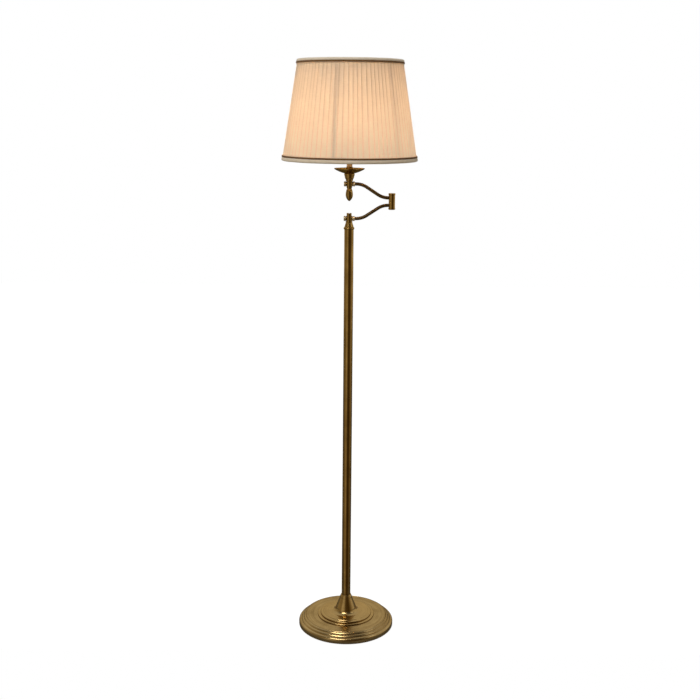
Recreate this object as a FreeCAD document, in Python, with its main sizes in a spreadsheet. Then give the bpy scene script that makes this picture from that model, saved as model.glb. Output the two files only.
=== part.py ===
import FreeCAD, Part
import math
import os
import re
from collections import namedtuple

import Sketcher

# A bridge floor lamp: a weighted round base, a pole in two lengths, a folding swing arm that
# pivots on the pole and at its elbow, and a head with a drip dish, a lampholder and a pleated
# shade. Millimetres. The origin is on the floor under the pole, +Z is up and both arms lie
# along +X.

SIZES = {
    # threads, fits and washers
    "stem_radius": 5.0,
    "stem_bore": 3.2,
    "thread_gap": 0.05,
    "running_gap": 0.05,
    "bolt_gap": 0.3,
    "washer_radius": 7.6,
    "washer_thickness": 0.6,
    "lead_radius": 2.4,
    "lead_gap": 0.1,
    # base: felt, spun cover and cast weight
    "felt_radius": 132.0,
    "felt_thickness": 2.5,
    "base_radius": 136.0,
    "cover_wall": 1.5,
    "rim_height": 8.0,
    "rim_round_width": 7.5,
    "rim_round_height": 7.5,
    "groove_width": 1.6,
    "groove_depth": 0.9,
    "bead_bulge": 0.6,
    "plate_radius": 115.4,
    "plate_edge_height": 27.0,
    "cover_height": 28.2,
    "seat_radius": 84.0,
    "weight_radius": 125.0,
    "weight_thickness": 18.0,
    "weight_chamfer": 4.0,
    "hub_radius": 32.0,
    "recess_radius": 22.0,
    "recess_depth": 18.5,
    "channel_width": 7.0,
    "cord_height": 5.0,
    "cord_bend_radius": 5.5,
    "gland_radius": 4.0,
    "gland_flange_radius": 4.9,
    "gland_flange_thickness": 2.0,
    "gland_length": 7.0,
    # base: fastening and trumpet foot
    "base_washer_radius": 14.0,
    "base_washer_thickness": 2.0,
    "base_nut_width": 17.0,
    "base_nut_height": 8.0,
    "flare_height": 51.3,
    "flare_wall": 1.6,
    "flare_top_thickness": 4.0,
    "flare_top_radius": 17.5,
    "foot_radius": 81.5,
    "foot_height": 3.6,
    "foot_round": 2.4,
    "foot_width": 10.5,
    "disc_radius": 73.0,
    "disc_height": 7.4,
    "disc_round": 2.4,
    "disc_ring_radius": 64.0,
    "disc_ring_step": 0.8,
    "throat_foot_radius": 45.0,
    "throat_foot_height": 9.8,
    "throat_radius": 29.0,
    "throat_height": 22.3,
    # pole
    "collar_radius": 17.5,
    "collar_mid_radius": 15.9,
    "collar_mid_height": 5.5,
    "collar_lip": 1.1,
    "collar_height": 9.5,
    "collar_floor": 2.0,
    "pole_radius": 12.7,
    "pole_wall": 1.2,
    "lower_pole_length": 598.0,
    "upper_pole_length": 467.5,
    "foot_plug_length": 22.0,
    "coupler_flange": 1.0,
    "coupler_inset": 0.3,
    "coupler_spigot": 20.0,
    "coupler_bore": 8.0,
    "cap_height": 22.0,
    "cap_spigot": 15.0,
    "cap_lip_radius": 13.4,
    "cap_bead_radius": 14.5,
    "cap_bead_height": 6.4,
    "cap_bell_radius": 12.4,
    "cap_waist_radius": 9.0,
    "cap_waist_height": 4.0,
    # swing arm: cross blocks, tubes and elbow
    "block_radius": 8.2,
    "block_height": 13.0,
    "boss_radius": 5.6,
    "boss_reach": 9.0,
    "end_cap_radius": 6.7,
    "end_cap_length": 5.6,
    "end_cap_round": 1.6,
    "collar_length": 6.0,
    "arm_collar_radius": 6.7,
    "arm_collar_round": 1.2,
    "arm_radius": 4.5,
    "arm_bore": 3.4,
    "arm_rise": 36.0,
    "arm_bend_radius": 50.0,
    "arm_bend_start": 19.0,
    "arm_bend_end": 104.0,
    "elbow_offset": 114.0,
    "knuckle_radius": 8.6,
    "knuckle_inner": 9.7,
    "knuckle_outer": 7.1,
    "socket_depth": 3.0,
    "elbow_cap_height": 4.5,
    "elbow_cap_radius": 9.3,
    "elbow_cap_round": 1.2,
    "elbow_foot_round": 2.4,
    "elbow_spigot": 3.0,
    "pivot_nut_radius": 6.7,
    "pivot_nut_height": 7.4,
    "pivot_nut_cap": 1.8,
    "pivot_slot_width": 2.0,
    "pivot_slot_depth": 1.6,
    # head: finial, vase, drip dish and neck
    "finial_length": 38.0,
    "finial_bore_depth": 13.0,
    "finial_flange_radius": 7.6,
    "finial_flange_height": 1.6,
    "finial_neck_radius": 6.1,
    "finial_neck_drop": 5.0,
    "finial_radius": 9.7,
    "finial_belly_drop": 21.5,
    "finial_shoulder_radius": 8.6,
    "finial_shoulder_drop": 12.0,
    "finial_point_radius": 3.4,
    "finial_point_rise": 1.6,
    "finial_tip_radius": 1.4,
    "finial_flank_radius": 7.6,
    "finial_flank_rise": 7.2,
    "vase_height": 21.5,
    "vase_foot_radius": 9.8,
    "vase_waist_radius": 9.5,
    "vase_waist_height": 2.4,
    "vase_flare_radius": 11.9,
    "vase_flare_height": 8.0,
    "vase_neck_radius": 13.2,
    "vase_bead_radius": 14.1,
    "vase_bead_height": 7.0,
    "dish_radius": 41.0,
    "dish_floor_radius": 16.5,
    "dish_height": 12.5,
    "dish_lip": 2.6,
    "dish_lip_width": 1.2,
    "dish_belly_radius": 28.2,
    "dish_belly_height": 4.2,
    "dish_wall": 1.3,
    "cup_radius": 11.5,
    "cup_floor": 2.0,
    "cup_height": 15.0,
    "cup_foot_height": 3.0,
    "cup_neck_radius": 8.8,
    "neck_radius": 7.6,
    "neck_bore": 6.0,
    "neck_length": 43.3,
    # lampholder and bulb
    "holder_foot_radius": 10.5,
    "holder_radius": 20.0,
    "holder_wall": 1.4,
    "holder_cap_height": 20.0,
    "holder_foot_height": 2.8,
    "holder_foot_thickness": 5.6,
    "holder_shoulder_height": 14.0,
    "holder_shell_length": 37.0,
    "core_thickness": 12.0,
    "contact_bore": 4.0,
    "sleeve_wall": 0.7,
    "bulb_cap_radius": 13.2,
    "bulb_cap_height": 25.0,
    "bulb_cap_gap": 0.2,
    "contact_height": 3.0,
    "glass_wall": 0.9,
    "glass_neck_height": 5.0,
    "glass_throat_radius": 17.3,
    "glass_throat_height": 19.0,
    "globe_radius": 30.0,
    "globe_height": 50.0,
    "globe_shoulder_radius": 24.6,
    "shade_nut_radius": 27.0,
    "shade_nut_height": 4.0,
    # shade and its frame
    "fitter_rise": 21.0,
    "fitter_radius": 29.0,
    "fitter_thickness": 2.0,
    "shade_drop": 53.8,
    "shade_height": 257.2,
    "shade_bottom_radius": 178.8,
    "shade_top_radius": 137.8,
    "shade_thickness": 1.6,
    "lining_thickness": 0.6,
    "lining_inset": 7.0,
    "wire_radius": 1.75,
    "wire_gap": 0.25,
    "weld_gap": 0.05,
    "ring_inset": 3.2,
    "spoke_gap": 0.7,
    "braid_edge": 1.6,
    "braid_gap": 0.2,
    "braid_thickness": 1.2,
    "bottom_stripe_inset": 8.2,
    "top_stripe_inset": 5.0,
    "stripe_height": 4.4,
    "stripe_thickness": 0.8,
}

# How many wires the shade's frame has, and where the first of each kind stands, in degrees.
STRUT_COUNT = 6
STRUT_TURN = 16.3
SPOKE_COUNT = 3
SPOKE_TURN = 46.3
# Where the middle of a quarter round lies, as a share of its width and height.
ROUND_NEAR = 1 - math.sqrt(0.5)
ROUND_FAR = math.sqrt(0.5)
FULL_TURN = 360.0
# How far a cutting tool reaches past the faces that it opens.
PAST = "1"

Corner = namedtuple("Corner", "across up")
Through = namedtuple("Through", "across up")

doc = FreeCAD.newDocument("bridge_floor_lamp")
sheet = doc.addObject("Spreadsheet::Sheet", "sizes")
for row, (alias, size) in enumerate(SIZES.items(), start=1):
    sheet.set(f"A{row}", alias)
    sheet.set(f"B{row}", str(size))
    sheet.setAlias(f"B{row}", alias)
doc.recompute()

nodes = []


# ---------------------------------------------------------------- expressions and outlines

def bound(text):
    """An expression whose size names point into the sheet."""
    def cell(word):
        name = word.group()
        return f"sizes.{name}" if name in SIZES else name
    return re.sub(r"[a-z][a-z_]*", cell, text)


def value(text):
    """What an expression of sizes comes to."""
    return float(sheet.evalExpression(bound(text)))


def bind(thing, **expressions):
    """Ties properties to expressions of sizes; x, y and z are the place of the thing."""
    for name, text in expressions.items():
        path = f"Placement.Base.{name}" if name in ("x", "y", "z") else name
        thing.setExpression(path, bound(text))
    return thing


def turn(thing, axis, degrees):
    """Turns a thing about its own origin; its place stays bound."""
    thing.Placement.Rotation = FreeCAD.Rotation(axis, degrees)
    return thing


def quarter(start, end):
    """The middle of a quarter round that leaves its start upright and meets its end level."""
    across = f"({start.across}) + (({end.across}) - ({start.across})) * {ROUND_NEAR}"
    up = f"({start.up}) + (({end.up}) - ({start.up})) * {ROUND_FAR}"
    return Through(across, up)


def rounded(start, end):
    """A corner rounded outwards: leaves upright, arrives level."""
    return [start, quarter(start, end), end]


def rounded_down(start, end):
    """A corner rounded outwards: leaves level, arrives upright."""
    return [start, quarter(end, start), end]


def bead(start, end):
    """The middle of a shallow bead that stands out and up from the line between its ends."""
    across = f"(({start.across}) + ({end.across})) / 2 + bead_bulge"
    up = f"(({start.up}) + ({end.up})) / 2 + bead_bulge"
    return Through(across, up)


def vector(point):
    return FreeCAD.Vector(value(point.across), value(point.up), 0)


def draw(sketch, outline, closed=True):
    """Draws corners joined by lines, or by arcs through the points between them, and binds each."""
    segments = []
    corners = [place for place, point in enumerate(outline) if isinstance(point, Corner)]
    turns = corners + corners[:1] if closed else corners
    for first, second in zip(turns, turns[1:]):
        between = outline[first + 1] if first + 1 < len(outline) else None
        start, end = vector(outline[first]), vector(outline[second])
        if isinstance(between, Through):
            middle = vector(between)
            edge = sketch.addGeometry(Part.Arc(start, middle, end), False)
            # A sketch counts an arc's ends anticlockwise.
            ends = (1, 2) if (middle - start).cross(end - middle).z > 0 else (2, 1)
            mark = sketch.addGeometry(Part.Point(middle), True)
            fix(sketch, mark, 1, between)
            sketch.addConstraint(Sketcher.Constraint("PointOnObject", mark, 1, edge))
        else:
            edge = sketch.addGeometry(Part.LineSegment(start, end), False)
            ends = (1, 2)
        segments.append((edge, ends))
        fix(sketch, edge, ends[0], outline[first])
    joins = zip(segments, segments[1:] + segments[:1]) if closed else zip(segments, segments[1:])
    for (edge, ends), (follower, follower_ends) in joins:
        join = Sketcher.Constraint("Coincident", edge, ends[1], follower, follower_ends[0])
        sketch.addConstraint(join)
    if not closed:
        edge, ends = segments[-1]
        fix(sketch, edge, ends[1], outline[corners[-1]])


def fix(sketch, edge, end, point):
    """Holds one point of a sketch at its bound place from the sketch's own origin."""
    for kind, text in (("DistanceX", point.across), ("DistanceY", point.up)):
        rule = Sketcher.Constraint(kind, -1, 1, edge, end, value(text))
        number = sketch.addConstraint(rule)
        sketch.setExpression(f"Constraints[{number}]", bound(text))


# ---------------------------------------------------------------- kinds of piece

def keep(thing):
    """Marks a finished piece as a node of its own."""
    nodes.append(thing)
    return thing


def new_body(label):
    return doc.addObject("PartDesign::Body", label)


def new_sketch(body, label, role):
    """A sketch on one of its body's own origin planes."""
    plane = next(entry for entry in body.Origin.OriginFeatures if entry.Role == role)
    sketch = body.newObject("Sketcher::SketchObject", label)
    sketch.AttachmentSupport = (plane, [""])
    sketch.MapMode = "FlatFace"
    return sketch


def turned(label, outline, axis="V_Axis"):
    """A body spun from its outline about its own upright axis, or about X with H_Axis."""
    body = new_body(label)
    sketch = new_sketch(body, f"{label}_outline", "XZ_Plane")
    draw(sketch, outline)
    spin = body.newObject("PartDesign::Revolution", f"{label}_spin")
    spin.Profile = sketch
    spin.ReferenceAxis = (sketch, [axis])
    spin.Angle = FULL_TURN
    sketch.Visibility = False
    return body


def sleeve(label, radius, bore, length):
    """A plain tube, ring or washer standing on its own origin."""
    outline = [Corner(bore, "0"), Corner(radius, "0"), Corner(radius, length), Corner(bore, length)]
    return turned(label, outline)


def cylinder(label, radius, height, x="0", y="0", z="0"):
    rod = doc.addObject("Part::Cylinder", label)
    return bind(rod, Radius=radius, Height=height, x=x, y=y, z=z)


def box(label, length, width, height, x="0", y="0", z="0"):
    block = doc.addObject("Part::Box", label)
    return bind(block, Length=length, Width=width, Height=height, x=x, y=y, z=z)


def cut(label, base, *tools):
    """The base without the tools, as one piece."""
    for step, tool in enumerate(tools, start=1):
        last = step == len(tools)
        shape = doc.addObject("Part::Cut", label if last else f"{label}_step_{step}")
        shape.Base = base
        shape.Tool = tool
        base = shape
    return base


def fuse(label, *pieces):
    shape = doc.addObject("Part::MultiFuse", label)
    shape.Shapes = list(pieces)
    shape.Refine = True
    return shape


def group(label, pieces):
    """Identical pieces that stay separate solids in one node."""
    shape = doc.addObject("Part::Compound", label)
    shape.Links = list(pieces)
    return shape


def pipe_body(label, draw_path, radius, bore=None):
    """A rod, or a tube with a bore, that follows the path drawn in its body's XZ plane."""
    body = new_body(label)
    path = new_sketch(body, f"{label}_path", "XZ_Plane")
    draw_path(path)
    doc.recompute()
    section = body.newObject("Sketcher::SketchObject", f"{label}_section")
    section.AttachmentSupport = (path, ["Edge1"])
    section.MapMode = "NormalToEdge"
    for size in [radius] + ([bore] if bore else []):
        circle = Part.Circle(FreeCAD.Vector(0, 0, 0), FreeCAD.Vector(0, 0, 1), value(size))
        ring = section.addGeometry(circle, False)
        section.addConstraint(Sketcher.Constraint("Coincident", ring, 3, -1, 1))
        number = section.addConstraint(Sketcher.Constraint("Radius", ring, value(size)))
        section.setExpression(f"Constraints[{number}]", bound(size))
    pipe = body.newObject("PartDesign::AdditivePipe", f"{label}_pipe")
    pipe.Profile = section
    pipe.Spine = (path, [])
    path.Visibility = False
    section.Visibility = False
    return body


def rod(label, path, radius):
    return pipe_body(label, lambda sketch: draw(sketch, path, closed=False), radius)


# ---------------------------------------------------------------- levels, from the floor up

COVER = "felt_thickness"
PLATE = f"{COVER} + cover_height"
COLLAR = f"{PLATE} + flare_height"
POLE_FOOT = f"{COLLAR} + collar_floor"
POLE_JOINT = f"{POLE_FOOT} + lower_pole_length"
UPPER_POLE = f"{POLE_JOINT} + coupler_flange"
POLE_TOP = f"{UPPER_POLE} + upper_pole_length"
CAP_TOP = f"{POLE_TOP} + cap_height"
LOWER_BLOCK = f"{CAP_TOP} + washer_thickness"
LOWER_AXIS = f"{LOWER_BLOCK} + block_height / 2"
LOWER_KNUCKLE = f"{LOWER_AXIS} + arm_rise"
ELBOW_WASHER = f"{LOWER_KNUCKLE} + knuckle_inner"
UPPER_KNUCKLE = f"{ELBOW_WASHER} + washer_thickness + knuckle_inner"
ELBOW_TOP = f"{UPPER_KNUCKLE} + knuckle_outer"
UPPER_AXIS = f"{UPPER_KNUCKLE} + arm_rise"
UPPER_BLOCK = f"{UPPER_AXIS} - block_height / 2"
FINIAL_TOP = f"{UPPER_BLOCK} - washer_thickness"
VASE = f"{UPPER_BLOCK} + block_height + washer_thickness"
DISH = f"{VASE} + vase_height"
CUP = f"{DISH} + dish_wall"
NECK = f"{CUP} + cup_floor"
HOLDER = f"{NECK} + neck_length"
SHELL = f"{HOLDER} + holder_cap_height"
CORE = f"{SHELL} - holder_wall"
BULB = f"{CORE} + core_thickness + contact_height"
GLASS = f"{BULB} + bulb_cap_height"
FITTER = f"{SHELL} + fitter_rise"
SHADE = f"{FITTER} - shade_drop"

STUD_HOLE = "stem_radius + bolt_gap"
THREAD_HOLE = "stem_radius + thread_gap"
PIVOT_HOLE = "stem_radius + running_gap"
POLE_BORE = "pole_radius - pole_wall"
SPIGOT = f"{POLE_BORE} - thread_gap"
LEAD_HOLE = "lead_radius + lead_gap"


# ---------------------------------------------------------------- base

def base_cover():
    """The spun brass skin: an upright rim, a round shoulder, two shallow beads and the plate."""
    shoulder_radius = "base_radius - rim_round_width"
    shoulder_height = "rim_height + rim_round_height"
    plate_lip = "plate_radius + groove_width"
    bead_width = f"({shoulder_radius} - ({plate_lip})) / 2"
    bead_height = f"(plate_edge_height - ({shoulder_height})) / 2"
    rim = Corner("base_radius", "rim_height")
    shoulder = Corner(shoulder_radius, shoulder_height)
    between = Corner(f"{shoulder_radius} - {bead_width}", f"{shoulder_height} + {bead_height}")
    lip = Corner(plate_lip, "plate_edge_height")
    outer = [Corner("base_radius", "0")]
    outer += rounded(rim, shoulder)
    outer += [bead(shoulder, between), between, bead(between, lip), lip]
    outer += [
        Corner("plate_radius + groove_width / 2", "plate_edge_height - groove_depth"),
        Corner("plate_radius", "plate_edge_height"),
        Corner("seat_radius", "cover_height"),
        Corner(STUD_HOLE, "cover_height"),
    ]
    inner = [
        Corner(STUD_HOLE, "cover_height - cover_wall"),
        Corner("seat_radius", "cover_height - cover_wall"),
        Corner("plate_radius - cover_wall", "plate_edge_height - cover_wall"),
        Corner(f"{shoulder_radius} - cover_wall", f"{shoulder_height} - cover_wall"),
        Corner("base_radius - cover_wall", "rim_height"),
        Corner("base_radius - cover_wall", "0"),
    ]
    shell = bind(turned("base_cover_shell", outer + inner), z=COVER)
    hole = cylinder(
        "base_cover_cord_hole", "gland_radius + thread_gap", f"gland_length + {PAST}",
        y=f"base_radius + {PAST}", z=f"{COVER} + cord_height")
    turn(hole, FreeCAD.Vector(1, 0, 0), 90)
    keep(cut("base_cover", shell, hole))


def base_weight():
    """The cast iron disc that keeps the lamp upright, with a hub, a nut recess and a cord channel."""
    outline = [
        Corner("recess_radius", "0"),
        Corner("weight_radius", "0"),
        Corner("weight_radius", "weight_thickness - weight_chamfer"),
        Corner("weight_radius - weight_chamfer", "weight_thickness"),
        Corner("hub_radius", "weight_thickness"),
        Corner("hub_radius", "cover_height - cover_wall"),
        Corner(STUD_HOLE, "cover_height - cover_wall"),
        Corner(STUD_HOLE, "recess_depth"),
        Corner("recess_radius", "recess_depth"),
    ]
    casting = bind(turned("base_weight_casting", outline), z=COVER)
    channel = box(
        "base_weight_channel", "channel_width", "weight_radius",
        "cord_height + channel_width / 2 + felt_thickness",
        x="-channel_width / 2", y="recess_radius / 2")
    keep(cut("base_weight", casting, channel))


def cord_gland():
    """The bush in the back of the rim that the mains cord comes out of."""
    flange = cylinder("cord_gland_flange", "gland_flange_radius", "gland_flange_thickness")
    barrel = cylinder("cord_gland_barrel", "gland_radius", "gland_length", z="-gland_length")
    bush = fuse("cord_gland_bush", flange, barrel)
    bore = cylinder(
        "cord_gland_bore", LEAD_HOLE, f"gland_length + gland_flange_thickness + 2 * {PAST}",
        z=f"-gland_length - {PAST}")
    gland = cut("cord_gland", bush, bore)
    bind(gland, y="base_radius", z=f"{COVER} + cord_height")
    turn(gland, FreeCAD.Vector(1, 0, 0), -90)
    keep(gland)


def base_flare():
    """The trumpet foot: a low ring, a stepped disc and a throat that sweeps up to the pole."""
    ring_rise = "disc_height + disc_ring_step / 2"
    outline = [Corner("foot_radius - foot_width", "0"), Corner("foot_radius", "0")]
    outline += rounded(
        Corner("foot_radius", "foot_height - foot_round"),
        Corner("foot_radius - foot_round", "foot_height"))
    outline += [Corner("disc_radius", "foot_height")]
    outline += rounded(
        Corner("disc_radius", "disc_height - disc_round"),
        Corner("disc_radius - disc_round", "disc_height"))
    outline += [
        Corner("disc_ring_radius + disc_ring_step", ring_rise),
        Corner("disc_ring_radius", "disc_height + disc_ring_step * 3 / 2"),
    ]
    outline += rounded_down(
        Corner("throat_foot_radius", "throat_foot_height"),
        Corner("throat_radius", "throat_height"))
    outline += [
        Corner("flare_top_radius", "flare_height"),
        Corner(STUD_HOLE, "flare_height"),
        Corner(STUD_HOLE, "flare_height - flare_top_thickness"),
        Corner("flare_top_radius - flare_wall", "flare_height - flare_top_thickness"),
    ]
    inner_throat = Corner("throat_radius - flare_wall", "throat_height")
    inner_foot = Corner("throat_foot_radius", "throat_foot_height - flare_wall")
    outline += [
        inner_throat,
        quarter(inner_throat, inner_foot),
        inner_foot,
        Corner("foot_radius - foot_width", "disc_height - flare_wall"),
    ]
    keep(bind(turned("base_flare", outline), z=PLATE))


def base():
    keep(cylinder("felt_pad", "felt_radius", "felt_thickness"))
    base_weight()
    base_cover()
    cord_gland()
    base_flare()
    recess = f"{COVER} + recess_depth"
    washer = sleeve("base_washer", "base_washer_radius", STUD_HOLE, "base_washer_thickness")
    keep(bind(washer, z=f"{recess} - base_washer_thickness"))
    nut_level = f"{recess} - base_washer_thickness - base_nut_height"
    hexagon = doc.addObject("Part::Prism", "base_nut_hexagon")
    hexagon.Polygon = 6
    bind(hexagon, Circumradius="base_nut_width / sqrt(3)", Height="base_nut_height", z=nut_level)
    bore = cylinder(
        "base_nut_bore", THREAD_HOLE, f"base_nut_height + 2 * {PAST}",
        z=f"{nut_level} - {PAST}")
    keep(cut("base_nut", hexagon, bore))
    stud_top = f"{POLE_FOOT} + foot_plug_length"
    stud = sleeve("base_stud", "stem_radius", "stem_bore", f"{stud_top} - ({nut_level})")
    keep(bind(stud, z=nut_level))


# ---------------------------------------------------------------- pole

def foot_collar():
    """The small flared socket that the pole stands in."""
    lip_radius = "pole_radius + collar_lip"
    outline = [
        Corner(STUD_HOLE, "0"),
        Corner("collar_radius", "0"),
        Corner("collar_radius", "collar_floor / 2"),
        Through("collar_mid_radius", "collar_mid_height"),
        Corner(lip_radius, "collar_height"),
        Corner("pole_radius + thread_gap", "collar_height"),
        Corner("pole_radius + thread_gap", "collar_floor"),
        Corner(STUD_HOLE, "collar_floor"),
    ]
    keep(bind(turned("foot_collar", outline), z=COLLAR))


def pole_coupler():
    """The sleeve that joins the two lengths of pole, with a fine ring showing between them."""
    outline = [
        Corner("coupler_bore", "-coupler_spigot"),
        Corner(SPIGOT, "-coupler_spigot"),
        Corner(SPIGOT, "0"),
        Corner("pole_radius - coupler_inset", "0"),
        Corner("pole_radius - coupler_inset", "coupler_flange"),
        Corner(SPIGOT, "coupler_flange"),
        Corner(SPIGOT, "coupler_flange + coupler_spigot"),
        Corner("coupler_bore", "coupler_flange + coupler_spigot"),
    ]
    keep(bind(turned("pole_coupler", outline), z=POLE_JOINT))


def pole_cap():
    """The turned bell on top of the pole, which holds the pivot stem."""
    outline = [
        Corner(THREAD_HOLE, "-cap_spigot"),
        Corner(SPIGOT, "-cap_spigot"),
        Corner(SPIGOT, "0"),
        Corner("cap_lip_radius", "0"),
        Through("cap_bead_radius", "cap_bead_height / 2"),
        Corner("cap_bell_radius", "cap_bead_height"),
        Corner("cap_waist_radius", "cap_height - cap_waist_height"),
        Corner("cap_waist_radius", "cap_height"),
        Corner(THREAD_HOLE, "cap_height"),
    ]
    keep(bind(turned("pole_cap", outline), z=POLE_TOP))


def pivot_nut():
    """The slotted round nut that holds the swing arm down on the pole."""
    seat = "washer_thickness"
    outline = [
        Corner(THREAD_HOLE, "0"),
        Corner("pivot_nut_radius", "0"),
        Corner("pivot_nut_radius", "pivot_nut_height - end_cap_round / 2"),
        Corner("pivot_nut_radius - end_cap_round / 2", "pivot_nut_height"),
        Corner("0", "pivot_nut_height"),
        Corner("0", "pivot_nut_height - pivot_nut_cap - pivot_slot_depth"),
        Corner(THREAD_HOLE, "pivot_nut_height - pivot_nut_cap - pivot_slot_depth"),
    ]
    nut_level = f"{LOWER_BLOCK} + block_height + {seat}"
    nut = bind(turned("pivot_nut_blank", outline), z=nut_level)
    slot = box(
        "pivot_nut_slot", "pivot_slot_width", "pivot_nut_radius * 4", "pivot_slot_depth * 2",
        x="-pivot_slot_width / 2", y="-pivot_nut_radius * 2",
        z=f"{nut_level} + pivot_nut_height - pivot_slot_depth")
    keep(cut("pivot_nut", nut, slot))


def pivot_stem():
    """The hollow stem that the lower arm turns on, with a window for the lead."""
    foot = f"{POLE_TOP} - cap_spigot"
    reach = "cap_spigot + cap_height + block_height + 2 * washer_thickness"
    top = "pivot_nut_height - pivot_nut_cap - pivot_slot_depth"
    stem = sleeve("pivot_stem_blank", "stem_radius", "stem_bore", f"{reach} + {top} - bolt_gap")
    bind(stem, z=foot)
    window = cylinder("pivot_stem_window", LEAD_HOLE, "stem_radius * 2", z=LOWER_AXIS)
    turn(window, FreeCAD.Vector(0, 1, 0), 90)
    keep(cut("pivot_stem", stem, window))


def pole():
    foot_collar()
    plug = sleeve("pole_foot_plug", SPIGOT, THREAD_HOLE, "foot_plug_length")
    keep(bind(plug, z=POLE_FOOT))
    lower = sleeve("pole_lower", "pole_radius", POLE_BORE, "lower_pole_length")
    keep(bind(lower, z=POLE_FOOT))
    pole_coupler()
    upper = sleeve("pole_upper", "pole_radius", POLE_BORE, "upper_pole_length")
    keep(bind(upper, z=UPPER_POLE))
    pole_cap()
    pivot_stem()
    washers = [
        bind(sleeve(f"pivot_washer_{place}", "washer_radius", PIVOT_HOLE, "washer_thickness"), z=level)
        for place, level in (("under", CAP_TOP), ("over", f"{LOWER_BLOCK} + block_height"))
    ]
    keep(group("pivot_washers", washers))
    pivot_nut()
    pole_lead()


def pole_lead():
    """The lead from the gland, along the channel, round under the stud and up the pole."""
    height = f"{COVER} + cord_height"
    bend_end = Corner("cord_bend_radius", height)
    bend_start = Corner("0", f"{height} + cord_bend_radius")
    path = [
        Corner("0", f"{LOWER_AXIS} - lead_radius"),
        bend_start,
        quarter(bend_start, bend_end),
        bend_end,
        Corner("base_radius + gland_flange_thickness / 2", height),
    ]
    lead = rod("pole_lead", path, "lead_radius")
    keep(turn(lead, FreeCAD.Vector(0, 0, 1), 90))


# ---------------------------------------------------------------- swing arm

def arm_path(start, end):
    """Draws the S of an arm: level, a bend up, a straight climb, a bend back, level again."""
    def draw_path(sketch):
        radius = value("arm_bend_radius")
        rise = value("arm_rise")
        first, last = value("arm_bend_start"), value("arm_bend_end")
        climb = rise - 2 * radius
        straight = math.sqrt((last - first) ** 2 + climb ** 2 - 4 * radius ** 2)
        tilt = math.atan2(climb, last - first) + math.atan2(2 * radius, straight)
        out = FreeCAD.Vector(math.sin(tilt), -math.cos(tilt), 0) * radius
        lower_centre = FreeCAD.Vector(first, radius, 0)
        upper_centre = FreeCAD.Vector(last, rise - radius, 0)
        upright = FreeCAD.Vector(0, 0, 1)
        half = math.pi / 2
        edges = [
            Part.LineSegment(FreeCAD.Vector(value(start), 0, 0), FreeCAD.Vector(first, 0, 0)),
            Part.ArcOfCircle(Part.Circle(lower_centre, upright, radius), -half, tilt - half),
            Part.LineSegment(lower_centre + out, upper_centre - out),
            Part.ArcOfCircle(Part.Circle(upper_centre, upright, radius), half, tilt + half),
            Part.LineSegment(FreeCAD.Vector(last, rise, 0), FreeCAD.Vector(value(end), rise, 0)),
        ]
        level, bend, slope, bend_back, level_end = [sketch.addGeometry(edge, False) for edge in edges]
        rule = Sketcher.Constraint
        sketch.addConstraint([
            rule("Tangent", level, 2, bend, 1),
            rule("Tangent", bend, 2, slope, 1),
            rule("Tangent", slope, 2, bend_back, 2),
            rule("Tangent", bend_back, 1, level_end, 1),
            rule("PointOnObject", level, 1, -1),
            rule("Horizontal", level),
            rule("Horizontal", level_end),
        ])
        sizes = [
            (rule("DistanceX", -1, 1, level, 1, value(start)), start),
            (rule("DistanceX", -1, 1, level, 2, first), "arm_bend_start"),
            (rule("Radius", bend, radius), "arm_bend_radius"),
            (rule("Radius", bend_back, radius), "arm_bend_radius"),
            (rule("DistanceX", -1, 1, level_end, 1, last), "arm_bend_end"),
            (rule("DistanceX", -1, 1, level_end, 2, value(end)), end),
            (rule("DistanceY", -1, 1, level_end, 2, rise), "arm_rise"),
        ]
        for size, text in sizes:
            number = sketch.addConstraint(size)
            sketch.setExpression(f"Constraints[{number}]", bound(text))
    return draw_path


def cross_block(label):
    """A turned block with a level boss through it, bored for the stem and for the lead."""
    half = "block_height / 2"
    barrel = cylinder(f"{label}_barrel", "block_radius", "block_height", z=f"-{half}")
    boss = cylinder(f"{label}_boss", "boss_radius", "2 * boss_reach", x="-boss_reach")
    turn(boss, FreeCAD.Vector(0, 1, 0), 90)
    blank = fuse(f"{label}_blank", barrel, boss)
    bore = cylinder(
        f"{label}_bore", PIVOT_HOLE, f"block_height + 2 * {PAST}", z=f"-{half} - {PAST}")
    lead_hole = cylinder(f"{label}_lead_hole", "arm_bore", "2 * boss_reach")
    turn(lead_hole, FreeCAD.Vector(0, 1, 0), 90)
    return cut(label, blank, bore, lead_hole)


def end_cap(label):
    """The button that closes the far end of a cross block."""
    outline = [
        Corner("-boss_reach", "0"),
        Corner("-boss_reach", "end_cap_radius"),
    ]
    outline += rounded_down(
        Corner("-boss_reach - end_cap_length + end_cap_round", "end_cap_radius"),
        Corner("-boss_reach - end_cap_length", "end_cap_radius - end_cap_round"))
    outline += [Corner("-boss_reach - end_cap_length", "0")]
    return turned(label, outline, "H_Axis")


def arm_collar(label):
    """The ferrule where an arm tube enters its cross block."""
    outer = "boss_reach + collar_length"
    hole = "arm_radius + thread_gap"
    outline = [Corner("boss_reach", hole)]
    outline += rounded(
        Corner("boss_reach", "arm_collar_radius - arm_collar_round"),
        Corner("boss_reach + arm_collar_round", "arm_collar_radius"))
    outline += rounded_down(
        Corner(f"{outer} - arm_collar_round", "arm_collar_radius"),
        Corner(outer, "arm_collar_radius - arm_collar_round"))
    outline += [Corner(outer, hole)]
    return turned(label, outline, "H_Axis")


def arm_tube(label):
    end = "elbow_offset - knuckle_radius + socket_depth"
    return pipe_body(label, arm_path("boss_reach", end), "arm_radius", "arm_bore")


def arm_lead(label):
    """The stretch of lead inside an arm tube, from the block's bore to the elbow's."""
    start = f"{PIVOT_HOLE} + bolt_gap"
    end = f"elbow_offset - ({PIVOT_HOLE}) - bolt_gap"
    return pipe_body(label, arm_path(start, end), "lead_radius")


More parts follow.
